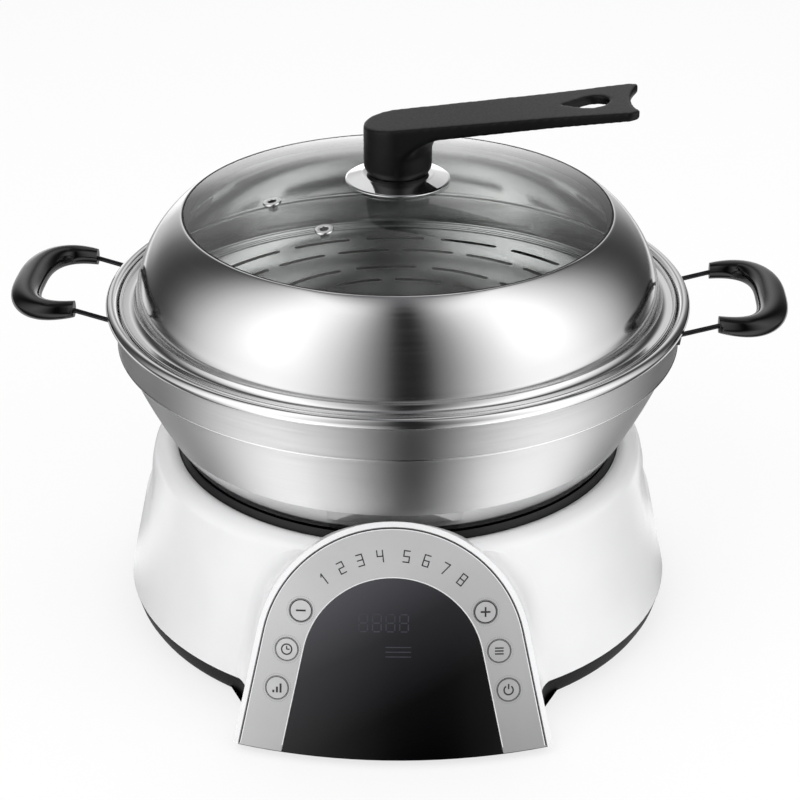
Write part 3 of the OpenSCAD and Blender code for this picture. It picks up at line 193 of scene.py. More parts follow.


# smoked acrylic: glossy, with a painted reflection that runs its colour from grey at the top left to black below
def smokedAcrylic():
    sheenAndFilm = {"side": -0.5, "low": -0.012, "high": 0.122, "filmMm": 25}
    material, tree = newMaterial("smokedAcrylic")
    coords = addNode(tree, "ShaderNodeTexCoord").outputs["Object"]
    split = addNode(tree, "ShaderNodeSeparateXYZ", {}, {"Vector": coords})
    slant = addNode(tree, "ShaderNodeMath", {"operation": "MULTIPLY_ADD", 1: sheenAndFilm["side"]},
                    {0: split.outputs["X"], 2: split.outputs["Z"]})
    level = addNode(tree, "ShaderNodeMapRange", {"From Min": sheenAndFilm["low"], "From Max": sheenAndFilm["high"]}, {"Value": slant})
    # painted reflection: grey above and to the left, black below
    tint = addNode(tree, "ShaderNodeValToRGB", {}, {"Fac": level})
    setRamp(tint, [(0.0, "#010102"), (0.3, "#0c0c0d"), (0.6, "#2a2a2d"), (1.0, "#56565b")])
    film = addNode(tree, "ShaderNodeTexNoise", {"Scale": 1000 / sheenAndFilm["filmMm"], "Detail": 2.0}, {"Vector": coords})
    gloss = addNode(tree, "ShaderNodeMapRange", {"To Min": 0.05, "To Max": 0.11}, {"Value": film})
    shader = addNode(tree, "ShaderNodeBsdfPrincipled", {"Specular IOR Level": 0.3}, {
        "Base Color": tint, "Roughness": gloss})
    addNode(tree, "ShaderNodeOutputMaterial", {}, {"Surface": shader})
    return material


# tempered glass: clear and faintly grey, reflecting more at a slant
def temperedGlass():
    hazeMm = 45
    material, tree = newMaterial("temperedGlass")
    coords = addNode(tree, "ShaderNodeTexCoord").outputs["Object"]
    haze = addNode(tree, "ShaderNodeTexNoise", {"Scale": 1000 / hazeMm, "Detail": 2.0}, {"Vector": coords})
    tint = addNode(tree, "ShaderNodeValToRGB", {}, {"Fac": haze})
    setRamp(tint, [(0.3, "#f3f4f4"), (0.7, "#f8f9f8")])
    blur = addNode(tree, "ShaderNodeMapRange", {"To Min": 0.01, "To Max": 0.03}, {"Value": haze})
    clear = addNode(tree, "ShaderNodeBsdfTransparent", {}, {"Color": tint})
    shine = addNode(tree, "ShaderNodeBsdfGlossy", {"Color": linear("#f3f3f3")}, {"Roughness": blur})
    slant = addNode(tree, "ShaderNodeFresnel", {"IOR": 1.5})
    behind = addNode(tree, "ShaderNodeNewGeometry").outputs["Backfacing"]
    front = addNode(tree, "ShaderNodeMath", {"operation": "SUBTRACT", 0: 1.0}, {1: behind})
    share = addNode(tree, "ShaderNodeMath", {"operation": "MULTIPLY"}, {0: slant, 1: front})
    both = addNode(tree, "ShaderNodeMixShader", {}, {0: share, 1: clear, 2: shine})
    addNode(tree, "ShaderNodeOutputMaterial", {}, {"Surface": both})
    return material


smoked = smokedAcrylic()
glass = temperedGlass()
print("materials made")


# mesh helpers take millimetres
def arcPath(centre, radius, start, end, steps):
    turns = [math.radians(start + (end - start) * i / steps) for i in range(steps + 1)]
    return [(centre[0] + radius * math.cos(a), centre[1] + radius * math.sin(a)) for a in turns]


# corners are (r, z) or (r, z, radius)
def roundedPath(corners, closed=True, steps=4):
    path = []
    for i, corner in enumerate(corners):
        here = Vector(corner[:2])
        if len(corner) < 3 or (not closed and i in (0, len(corners) - 1)):
            path.append(tuple(here))
            continue
        back = Vector(corners[i - 1][:2]) - here
        ahead = Vector(corners[(i + 1) % len(corners)][:2]) - here
        reach = min(corner[2] / math.tan(back.angle(ahead) / 2), 0.49 * back.length, 0.49 * ahead.length)
        first = here + back.normalized() * reach
        last = here + ahead.normalized() * reach
        for k in range(steps + 1):
            t = k / steps
            path.append(tuple(first * (1 - t) ** 2 + here * 2 * t * (1 - t) + last * t ** 2))
    return path


def finishMesh(name, work, sharpAngle):
    bmesh.ops.remove_doubles(work, verts=work.verts, dist=1e-7)
    bmesh.ops.recalc_face_normals(work, faces=work.faces)
    work.normal_update()
    for face in work.faces:
        face.smooth = True
    for edge in work.edges:
        edge.smooth = len(edge.link_faces) == 2 and edge.calc_face_angle(0) < math.radians(sharpAngle)
    mesh = bpy.data.meshes.new(name)
    work.to_mesh(mesh)
    work.free()
    return mesh


def buildMesh(name, points, faces, sharpAngle=35):
    work = bmesh.new()
    verts = [work.verts.new([c * 0.001 for c in p]) for p in points]
    for face in faces:
        work.faces.new([verts[i] for i in face])
    return finishMesh(name, work, sharpAngle)


def spin(name, loop, segments=256, sharpAngle=35):
    count = len(loop)
    turns = [2 * math.pi * k / segments for k in range(segments)]
    points = [(r * math.cos(a), r * math.sin(a), z) for a in turns for r, z in loop]
    faces = []
    for k in range(segments):
        here = k * count
        ahead = (k + 1) % segments * count
        faces += [(here + i, ahead + i, ahead + (i + 1) % count, here + (i + 1) % count) for i in range(count)]
    return buildMesh(name, points, faces, sharpAngle)


def tube(name, rings, sharpAngle=50):
    sides = len(rings[0])
    last = (len(rings) - 1) * sides
    faces = [(k + i, k + (i + 1) % sides, k + sides + (i + 1) % sides, k + sides + i)
             for k in range(0, last, sides) for i in range(sides)]
    faces += [tuple(range(sides)), tuple(last + i for i in range(sides))]
    return buildMesh(name, [p for ring in rings for p in ring], faces, sharpAngle)


# a piece rides as its node does and is finished in the material given, and stands for it unless it only lies on it
def placePiece(name, mesh, material, node, instead=True):
    piece = bpy.data.objects.new(name, mesh)
    scene.collection.objects.link(piece)
    mesh.materials.clear()
    mesh.materials.append(material)
    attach(piece, nodeBody[node])
    if instead:
        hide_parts(node)


# a merged copy of a solid's mesh, smooth where its faces flow into each other
def solidCopy(node, name, sharpAngle=30):
    work = bmesh.new()
    work.from_mesh(nodes[node].data)
    return finishMesh(name, work, sharpAngle)


# chooses the edges to round with picked(edge) and bevels them
def roundEdges(mesh, width, picked, segments=3):
    work = bmesh.new()
    work.from_mesh(mesh)
    bmesh.ops.dissolve_limit(work, angle_limit=math.radians(0.2), verts=work.verts, edges=work.edges)
    work.normal_update()
    chosen = [e for e in work.edges if len(e.link_faces) == 2 and picked(e)]
    bmesh.ops.bevel(work, geom=chosen, offset=width * 0.001, segments=segments, profile=0.5, affect="EDGES",
                    clamp_overlap=True)
    bmesh.ops.triangulate(work, faces=[f for f in work.faces if len(f.verts) > 4])
    return finishMesh(mesh.name, work, 30)


# shared sizes of the pressed pot
pot = {"rimR": 170.0, "beadR": 3.3, "sheet": 0.8, "ledgeDrop": 26.0, "ledgeW": 2.5, "sideR": 330.0,
       "bendR": 20.0, "floorR": 104.0, "floorZ": 85.5, "rimZ": 198.5, "turn": -2.4, "segments": 320, "stepRound": 1.2,
       "polish": 0.04, "lineR": 0.55, "bandZ": 125.0, "bandLow": 0.02, "bandHigh": 0.06}
sheet = pot["sheet"]
wallR = pot["rimR"] - 2 * pot["beadR"] + sheet
ledgeZ = pot["rimZ"] - pot["ledgeDrop"]
sideFoot = Vector((wallR - pot["ledgeW"], ledgeZ - sheet))
bend = Vector((pot["floorR"], pot["floorZ"] + pot["bendR"]))
rimC = (pot["rimR"] - pot["beadR"], pot["rimZ"] - pot["beadR"])


# centre of the side's circle, which passes through its foot and holds the bend's circle inside it
def sideCentre():
    gap = (sideFoot - bend).length
    way = (sideFoot - bend) / gap
    inner = pot["sideR"] - pot["bendR"]
    along = (inner ** 2 - pot["sideR"] ** 2 + gap ** 2) / (2 * gap)
    return bend + along * way + math.sqrt(inner ** 2 - along ** 2) * Vector((-way.y, way.x))


sideC = sideCentre()


def bowlPath(grow, top):
    low = math.degrees(math.atan2(bend.y - sideC.y, bend.x - sideC.x))
    high = math.degrees(math.asin((top - sideC.y) / (pot["sideR"] + grow)))
    return arcPath(bend, pot["bendR"] + grow, -90, low, 12) + arcPath(sideC, pot["sideR"] + grow, low, high, 40)[1:]


def potOutline():
    insideR = wallR - sheet
    footIn = sideFoot.x - sheet
    step = pot["stepRound"]
    outline = [(0, pot["floorZ"])] + bowlPath(0, sideFoot.y - 2)
    outline += roundedPath([(sideFoot.x, sideFoot.y - 2), (sideFoot.x, sideFoot.y, step),
                            (wallR, sideFoot.y, step), (wallR, sideFoot.y + 4)], closed=False)[1:]
    outline += arcPath(rimC, pot["beadR"], -140, 218, 40)  # the roll, open where it meets the wall
    outline += roundedPath([(insideR, ledgeZ + 4), (insideR, ledgeZ, step), (footIn, ledgeZ, step),
                            (footIn, ledgeZ - 3)], closed=False)[:-1]
    return outline + bowlPath(-sheet, ledgeZ - 3)[::-1] + [(0, pot["floorZ"] + sheet)]


placePiece("potShell", spin("potShell", potOutline(), pot["segments"]), satinStainless, "pot_shell")
# the polished rolled rim, a fine bright line where the wall steps in, and a polished band above the bend
rimLoop = arcPath(rimC, pot["beadR"] + pot["polish"], 0, 352.5, 47)
lineLoop = arcPath((wallR - 0.2, sideFoot.y + 0.35), pot["lineR"], 0, 345, 23)
bandLoop = bowlPath(pot["bandHigh"], pot["bandZ"]) + bowlPath(pot["bandLow"], pot["bandZ"])[::-1]
for name, loop, finish in (("potRim", rimLoop, buffedStainless), ("potLedge", lineLoop, buffedStainless),
                           ("potBand", bandLoop, mirrorStainless)):
    placePiece(name, spin(name, loop, pot["segments"]), finish, "pot_shell", False)
print("pot made")

# lid: steel dome, seal, glass and bright seat
lid = {"glassR": 122.8, "glassT": 4.0, "glassRise": 18.0, "rise": 50.0, "inset": 17.5, "domeR": 69.0, "footH": 4.5,
       "sealW": 1.0, "seatW": 2.6, "beadR": 1.2, "gap": 0.3, "trayDrop": 4.4, "trayGap": 0.8, "trayBeadR": 1.4,
       "ventAt": 74.0, "ventTurns": (198, 238), "segments": 320}
lidZ = pot["rimZ"] - lid["trayDrop"] + lid["gap"]
edgeZ = pot["rimZ"] + lid["rise"]
sphereR = (lid["glassR"] ** 2 + lid["glassRise"] ** 2) / (2 * lid["glassRise"])
sphereZ = edgeZ + lid["glassRise"] - sphereR
crownZ = edgeZ + lid["glassRise"]
glassDrop = edgeZ - sphereZ - math.sqrt((sphereR - lid["glassT"]) ** 2 - lid["glassR"] ** 2)
seatZ = edgeZ - glassDrop - lid["sealW"] - 0.1


def lidOutline():
    top = Vector((lid["glassR"] + lid["sealW"] + sheet, edgeZ))
    foot = Vector((pot["rimR"] - lid["inset"], lidZ + sheet + lid["footH"]))
    chord = foot - top
    height = math.sqrt(lid["domeR"] ** 2 - chord.length ** 2 / 4)
    domeC = (top + foot) / 2 + height * Vector((chord.y, -chord.x)) / chord.length
    high = math.degrees(math.atan2(top.y - domeC.y, top.x - domeC.x))
    low = math.degrees(math.atan2(foot.y - domeC.y, foot.x - domeC.x))
    footC = (foot.x + lid["footH"], foot.y)
    edgeR = wallR - sheet - lid["trayGap"] - lid["trayBeadR"]
    seatIn = lid["glassR"] - lid["seatW"]
    outline = [(top.x - sheet, edgeZ - 0.2), (top.x - sheet + 0.2, edgeZ), (top.x - 0.1, edgeZ)]
    outline += arcPath(domeC, lid["domeR"], high - 0.6, low, 48)
    outline += arcPath(footC, lid["footH"], 180, 270, 8)[1:]
    outline += arcPath((edgeR, lidZ + lid["beadR"]), lid["beadR"], 200, -90, 18)
    outline += arcPath(footC, lid["footH"] + sheet, 270, 180, 8)
    outline += arcPath(domeC, lid["domeR"] - sheet, low, high - 3, 48)[1:]
    return outline + [(top.x, seatZ - sheet + 0.5), (top.x - 0.5, seatZ - sheet), (seatIn, seatZ - sheet),
                      (seatIn, seatZ), (top.x - sheet, seatZ)]


placePiece("lidShell", spin("lidShell", lidOutline(), lid["segments"]), mirrorStainless, "lid_shell")

sealLoop = roundedPath([
    (lid["glassR"], seatZ + lid["sealW"]), (lid["glassR"], edgeZ, 0.3), (lid["glassR"] + lid["sealW"], edgeZ, 0.3),
    (lid["glassR"] + lid["sealW"], seatZ), (lid["glassR"] - lid["seatW"], seatZ),
    (lid["glassR"] - lid["seatW"], seatZ + lid["sealW"], 0.3)])
placePiece("glassSeal", spin("glassSeal", sealLoop), blackSilicone, "glass_seal")

placePiece("lidGlass", solidCopy("lid_glass", "lidGlass"), glass, "lid_glass")

# vent eyelets: bright collars on the glass, set square to its curve
eyelet = {"boreR": 2.4, "topR": 5.3, "topH": 1.1, "neckR": 2.75, "footR": 2.9, "footH": 0.3}


def eyeletMesh():
    low = -1.015 * lid["glassT"]
    loop = roundedPath([
        (eyelet["boreR"], eyelet["topH"], 0.4), (eyelet["topR"] - 0.4, eyelet["topH"], 0.8), (eyelet["topR"], 0.5, 0.4),
        (eyelet["topR"], 0.02), (eyelet["neckR"], 0.02), (eyelet["neckR"], low), (eyelet["footR"], low),
        (eyelet["footR"], low - eyelet["footH"]), (eyelet["boreR"], low - eyelet["footH"])])
    work = bmesh.new()
    lean = math.asin(lid["ventAt"] / sphereR)
    top = 0.001 * (sphereZ + sphereR * math.cos(lean))
    for angle in lid["ventTurns"]:
        one = spin("eyelet", loop, 48)
        one.transform(Matrix.Rotation(math.radians(angle), 4, "Z") @ Matrix.Translation((0.001 * lid["ventAt"], 0, top))
                      @ Matrix.Rotation(lean, 4, "Y"))
        work.from_mesh(one)
    return finishMesh("ventEyelets", work, 35)


placePiece("ventEyelets", eyeletMesh(), brightStainless, "vent_eyelets")

seat = {"r": 30.0, "hubR": 19.5, "h": 4.2, "boreR": 2.7, "gasketR": 13.4, "gasketT": 1.0}
seatLow = sphereZ + math.sqrt(sphereR ** 2 - seat["r"] ** 2) + 0.2
seatLoop = roundedPath([
    (seat["boreR"], crownZ + seat["gasketT"]), (seat["gasketR"], crownZ + seat["gasketT"]),
    (seat["gasketR"], crownZ + 0.1), (seat["r"] - 1, seatLow, 0.5), (seat["r"], seatLow + 0.5, 0.4),
    (seat["r"], seatLow + 1.2, 0.4), (seat["r"] - 1, seatLow + 1.8, 0.8),
    (seat["hubR"] + 1.5, crownZ + seat["h"] - 0.8, 1.0), (seat["hubR"] - 0.5, crownZ + seat["h"]),
    (seat["boreR"], crownZ + seat["h"])])
placePiece("handleSeat", spin("handleSeat", seatLoop, 192), chromePlate, "handle_seat")

# lid handle: the arm leaves the hub at its full width, and the whole moulding is softened together
handle = {"cell": 0.0007, "passes": 18, "hubR": 19.5, "hubH": 31.0, "len": 135.0, "rise": 7.2, "rootT": 8.0, "tipT": 5.0,
          "rootHalf": 19.4, "joinAt": 88.0, "joinHalf": 22.3, "cutAt": 70.0, "filletR": 12.0, "turn": -3.5, "along": 88,
          "across": 48, "boreR": 2.75, "boreH": 22.0, "neckR": 17.2, "neckH": 4.0}
hubLow = crownZ + seat["h"]
hubTop = hubLow + handle["hubH"]
armSlope = math.tan(math.radians(handle["rise"]))
handleTurn = Matrix.Rotation(math.radians(handle["turn"]), 4, "Z")


# the hub, drilled for its screw, its top cut along the arm's slope
def hubMesh():
    loop = [(0, hubLow + handle["boreH"]), (handle["boreR"], hubLow + handle["boreH"]), (handle["boreR"], hubLow),
            (handle["neckR"], hubLow), (handle["hubR"], hubLow + handle["neckH"]), (handle["hubR"], hubTop), (0, hubTop)]
    mesh = spin("hub", loop, 128)
    for vertex in mesh.vertices:
        if vertex.co.z > 0.001 * (hubTop - 1):
            vertex.co.z += vertex.co.x * armSlope
    return mesh


# a plate from the hub's middle to where the solid's arm is as wide, with a hollow fillet below round the hub
def armRoot():
    rows = []
    for i in range(handle["along"] + 1):
        x = handle["joinAt"] * i / handle["along"]
        half = handle["rootHalf"] + (handle["joinHalf"] - handle["rootHalf"]) * x / handle["joinAt"]
        top = hubTop + x * armSlope
        thin = (handle["rootT"] - handle["tipT"]) * (x - handle["hubR"]) / (handle["len"] - handle["hubR"])
        for k in range(handle["across"] + 1):
            y = half * (2 * k / handle["across"] - 1)
            off = min(max(handle["filletR"] + handle["hubR"] - math.hypot(x, y), 0), handle["filletR"] - 0.1)
            drop = handle["filletR"] - math.sqrt(handle["filletR"] ** 2 - off ** 2)
            rows.append((x, y, top, top - handle["rootT"] + thin - drop))
    wide = handle["across"] + 1
    count = len(rows)
    points = [(x, y, top) for x, y, top, low in rows] + [(x, y, low) for x, y, top, low in rows]
    quads = [(i * wide + k, i * wide + k + 1, (i + 1) * wide + k + 1, (i + 1) * wide + k)
             for i in range(handle["along"]) for k in range(wide - 1)]
    faces = quads + [tuple(count + v for v in quad) for quad in quads]
    last = count - wide
    edge = list(range(wide)) + [i * wide + wide - 1 for i in range(1, handle["along"] + 1)]
    edge += [last + k for k in range(wide - 2, -1, -1)] + [i * wide for i in range(handle["along"] - 1, 0, -1)]
    faces += [(a, b, count + b, count + a) for a, b in zip(edge, edge[1:] + edge[:1])]
    return buildMesh("armRoot", points, faces)


def handleMesh():
    work = bmesh.new()
    work.from_mesh(nodes["lid_handle"].data)
    bmesh.ops.remove_doubles(work, verts=work.verts, dist=1e-7)
    work.transform(handleTurn.inverted())
    everything = work.verts[:] + work.edges[:] + work.faces[:]
    bmesh.ops.bisect_plane(work, geom=everything, plane_co=(handle["cutAt"] * 0.001, 0, 0), plane_no=(1, 0, 0),
                           clear_inner=True)
    bmesh.ops.holes_fill(work, edges=[e for e in work.edges if e.is_boundary])
    work.from_mesh(armRoot())
    work.from_mesh(hubMesh())
    work.transform(handleTurn)
    holder = bpy.data.objects.new("lidHandle", finishMesh("lidHandle", work, 30))
    scene.collection.objects.link(holder)
    cells = holder.modifiers.new("cells", "REMESH")
    cells.mode = "VOXEL"
    cells.voxel_size = handle["cell"]
    smooth = holder.modifiers.new("smooth", "SMOOTH")
    smooth.iterations = handle["passes"]
    bpy.context.view_layer.update()
    result = bpy.data.meshes.new_from_object(holder.evaluated_get(bpy.context.evaluated_depsgraph_get()))
    bpy.data.objects.remove(holder)
    work = bmesh.new()
    work.from_mesh(result)
    return finishMesh("lidHandle", work, 60)


placePiece("lidHandle", handleMesh(), phenolicResin, "lid_handle")
print("lid made")

# side grips: D loops swept from a thin end round a thick middle
grip = {"inR": 184.0, "reach": 42.0, "half": 44.0, "wireHalf": 38.0, "endR": 4.8, "midW": 18.0, "midT": 14.0,
        "z": 197.0, "power": 2 / 2.8, "rings": 104, "sides": 36}


def gripBend(t):
    return abs(math.cos(math.pi / 2 * t)) ** grip["power"]


def gripMid(t):
    side = math.copysign(abs(math.sin(math.pi / 2 * t)) ** grip["power"], t)
    lean = math.copysign((grip["half"] - grip["wireHalf"]) * (1 - gripBend(t)) ** 2, t)
    return Vector((grip["inR"] + (grip["reach"] - grip["midW"] / 2) * gripBend(t), grip["half"] * side - lean, grip["z"]))


def gripRing(t):
    wide = grip["endR"] + (grip["midW"] / 2 - grip["endR"]) * gripBend(t)
    tall = grip["endR"] + (grip["midT"] / 2 - grip["endR"]) * gripBend(t)
    way = (gripMid(min(1, t + 0.02)) - gripMid(max(-1, t - 0.02))).normalized()
    if abs(t) > 0.999:
        way = Vector((-math.copysign(1, t), 0, 0))
    across = Vector((-way.y, way.x, 0))
    turns = [2 * math.pi * i / grip["sides"] for i in range(grip["sides"])]
    return [gripMid(t) + across * wide * math.cos(a) + Vector((0, 0, tall * math.sin(a))) for a in turns]


for side, angle in (("right", 0), ("left", 180)):
    turn = Matrix.Rotation(math.radians(pot["turn"] + angle), 3, "Z")
    rings = [[turn @ p for p in gripRing(2 * i / grip["rings"] - 1)] for i in range(grip["rings"] + 1)]
    placePiece(side + "Grip", tube(side + "Grip", rings), polishedResin, side + "_grip")
print("grips made")

# control nose: origin at the middle of the panel's lower edge, u across, w up the slope, n out of it
base = {"ringZ": 107.0, "ringGap": 0.9, "ringW": 2.4, "flare": 31.3, "reach": 35.0}
openingR = sideC.x + math.sqrt((pot["sideR"] + base["ringGap"]) ** 2 - (base["ringZ"] - sideC.y) ** 2) + base["ringW"]
panel = {"y": openingR + base["flare"] + base["reach"], "footZ": 6.5, "tilt": 24.6, "frontR": 295.0, "archR": 73.0,
         "archC": 53.3, "spread": 12.0, "rimW": 3.2, "keyProud": 0.3, "windowR": 49.5, "windowC": 49.0}
slope = Matrix.Translation((0, -panel["y"] * 0.001, panel["footZ"] * 0.001)) @ Matrix.Rotation(
    math.radians(90 - panel["tilt"]), 4, "X")


def bow(u):
    return math.sqrt(panel["frontR"] ** 2 - u ** 2) - panel["frontR"]


def panelPoint(u, w, n):
    return 1000 * (slope @ Vector((u * 0.001, w * 0.001, (n + bow(u)) * 0.001)))


# flat ink: each outline is a list of (u, w), drawn as a thin plate on the bowed face
def inkPlate(name, outlines, lift, thick=0.06):
    points, faces = [], []
    for outline in outlines:
        start, count = len(points), len(outline)
        points += [panelPoint(u, w, lift) for u, w in outline]
        points += [panelPoint(u, w, lift + thick) for u, w in outline]
        faces += [tuple(start + i for i in range(count))[::-1], tuple(start + count + i for i in range(count))]
        faces += [(start + i, start + (i + 1) % count, start + count + (i + 1) % count, start + count + i)
                  for i in range(count)]
    return buildMesh(name, points, faces)


def stroke(start, end, width):
    way = (Vector(end) - Vector(start)).normalized() * width / 2
    side = Vector((-way.y, way.x))
    start, end = Vector(start), Vector(end)
    return [tuple(p) for p in (start + side, start - side, end - side, end + side)]


# an arc band as a run of small quads, so that it follows the bowed face
def arcBand(centre, radius, width, start=0, end=360, steps=48):
    inner = arcPath(centre, radius - width / 2, start, end, steps)
    outer = arcPath(centre, radius + width / 2, start, end, steps)
    return [[inner[i], outer[i], outer[i + 1], inner[i + 1]] for i in range(steps)]


# housing: the nose's outer edge is rounded over
housing = {"edgeRound": 1.1}


def onNoseEdge(edge):
    local = [slope.inverted() @ v.co * 1000 for v in edge.verts]
    return edge.calc_face_angle(0) > 0.6 and all(abs(p.z - bow(p.x)) < 0.05 for p in local) and all(
        math.hypot(p.x, p.y - panel["archC"]) > panel["archR"] + panel["rimW"] - 0.3 for p in local)


housingMesh = roundEdges(solidCopy("base_housing", "baseHousing"), housing["edgeRound"], onNoseEdge)
placePiece("baseHousing", housingMesh, whiteAbs, "base_housing")

# pieces whose solids have the right shape: a smooth copy each
copies = {
    "control_panel": flakeLacquer, "display_window": smoked, "support_ring": filledNylon,
    "bottom_cover": grainedPolypropylene, "inner_pan": aluminisedSheet,
    "heating_plate": facedAluminium, "pot_base_disc": facedAluminium, "left_wires": drawnWire, "right_wires": drawnWire,
    "temperature_sensor": facedAluminium, "power_inlet": grainedPolypropylene, "rubber_feet": mouldedRubber,
    "key_minus": keyLacquer, "key_time": keyLacquer, "key_level": keyLacquer, "key_plus": keyLacquer,
    "key_menu": keyLacquer, "key_power": keyLacquer}
for node, material in copies.items():
    words = node.split("_")
    name = words[0] + "".join(word.capitalize() for word in words[1:])
    placePiece(name, solidCopy(node, name), material, node)

# lugs under the rim: the solid's blocks drawn in to plates that end behind the rolled rim
lug = {"outR": 168.0, "lowZ": 185.4}
for side in ("left", "right"):
    lugMesh = solidCopy(side + "_lugs", side + "Lugs")
    for vertex in lugMesh.vertices:
        away = math.hypot(vertex.co.x, vertex.co.y)
        inward = min(1, lug["outR"] * 0.001 / away)
        vertex.co = (vertex.co.x * inward, vertex.co.y * inward, max(vertex.co.z, lug["lowZ"] * 0.001))
    placePiece(side + "Lugs", lugMesh, drawnWire, side + "_lugs")

# steamer tray: the corners of its steps are pressed round and catch the light
tray = {"r": wallR - sheet - lid["trayGap"], "z": ledgeZ + 0.3, "landW": 5.0, "dip": 2.0, "round": 1.5}
trayRings = [(tray["r"] - sheet, tray["z"] + sheet), (tray["r"] - tray["landW"] - sheet, tray["z"] + sheet),
             (tray["r"] - tray["landW"] - sheet, tray["z"] - tray["dip"] + sheet)]


def onTrayStep(edge):
    ends = [(1000 * math.hypot(v.co.x, v.co.y), 1000 * v.co.z) for v in edge.verts]
    return edge.calc_face_angle(0) > 0.6 and any(
        all(abs(r - ringR) < 0.3 and abs(z - ringZ) < 0.3 for r, z in ends) for ringR, ringZ in trayRings)


trayMesh = roundEdges(solidCopy("steamer_tray", "steamerTray"), tray["round"], onTrayStep, 4)
placePiece("steamerTray", trayMesh, brightStainless, "steamer_tray")

# solids that stay as they are, in their own material
kept = {"cover_screws": zincPlate, "display_module": greyPolystyrene, "control_board": solderResist,
        "board_screws": zincPlate, "pan_screws": zincPlate, "heating_element": oxidisedSheath,
        "plate_screws": zincPlate, "sensor_holder": aluminisedSheet, "power_board": solderResist,
        "inlet_pins": nickelPlate, "handle_gaskets": greySilicone, "handle_washer": zincPlate, "handle_screw": zincPlate}
for node, material in kept.items():
    slots = nodes[node].data.materials
    slots.clear()
    slots.append(material)
print("solids dressed")

# sensor spring: a round wire wound between the bush and the cap
spring = {"r": 7.5, "wireR": 0.6, "turns": 6, "low": 66.0, "high": 80.2, "steps": 32, "sides": 12}


def springRing(share):
    a = 2 * math.pi * spring["turns"] * share
    z = spring["low"] + (spring["high"] - spring["low"]) * share
    around = [2 * math.pi * i / spring["sides"] for i in range(spring["sides"])]
    places = [(spring["r"] + spring["wireR"] * math.cos(b), z + spring["wireR"] * math.sin(b)) for b in around]
    return [(away * math.cos(a), away * math.sin(a), high) for away, high in places]


coilSteps = spring["turns"] * spring["steps"]
coil = tube("sensorSpring", [springRing(k / coilSteps) for k in range(coilSteps + 1)])
placePiece("sensorSpring", coil, springWire, "sensor_spring")

# marks on the keys
keyMarks = {"r": 6.4, "ringW": 0.65, "thinW": 0.38, "places": {
    "minus": (-50.3, 80.2), "time": (-58.0, 58.7), "level": (-63.3, 37.3),
    "plus": (50.3, 80.2), "menu": (58.0, 58.7), "power": (63.3, 37.3)}}


def markShapes(kind, u, w):
    bar = 0.95
    if kind == "minus":
        return [stroke((u - 2.7, w), (u + 2.7, w), bar)]
    if kind == "plus":
        return [stroke((u - 2.7, w), (u + 2.7, w), bar), stroke((u, w + bar / 2), (u, w + 2.7), bar),
                stroke((u, w - bar / 2), (u, w - 2.7), bar)]
    if kind == "time":
        hands = [stroke((u, w - 0.2), (u, w + 1.8), 0.7), stroke((u + 0.35, w), (u + 1.6, w), 0.65)]
        return arcBand((u, w), 2.8, 0.75) + hands
    if kind == "level":
        return [stroke((u + 2 * i, w - 2.6), (u + 2 * i, w + 0.6 + 1.8 * i), 1.1) for i in (-1, 0, 1)]
    if kind == "menu":
        return [stroke((u - 2.4, w + 1.6 * i), (u + 2.4, w + 1.6 * i), 0.75) for i in (-1, 0, 1)]
    return arcBand((u, w - 0.2), 2.5, 0.8, 125, 415) + [stroke((u, w + 0.3), (u, w + 3.2), 0.8)]


for kind, (u, w) in keyMarks["places"].items():
    ringW = keyMarks["ringW" if kind in ("plus", "minus") else "thinW"]
    shapes = markShapes(kind, u, w) + arcBand((u, w), keyMarks["r"] - 0.15 - ringW / 2, ringW)
    placePiece(kind + "Mark", inkPlate(kind + "Mark", shapes, panel["keyProud"]), screenInk, f"key_{kind}", False)

# dotted rings round the keys, printed on the panel: one tree sets the dots on every key's place
dots = {"ringR": 7.7, "dotR": 0.19, "count": 44, "lift": 0.05}


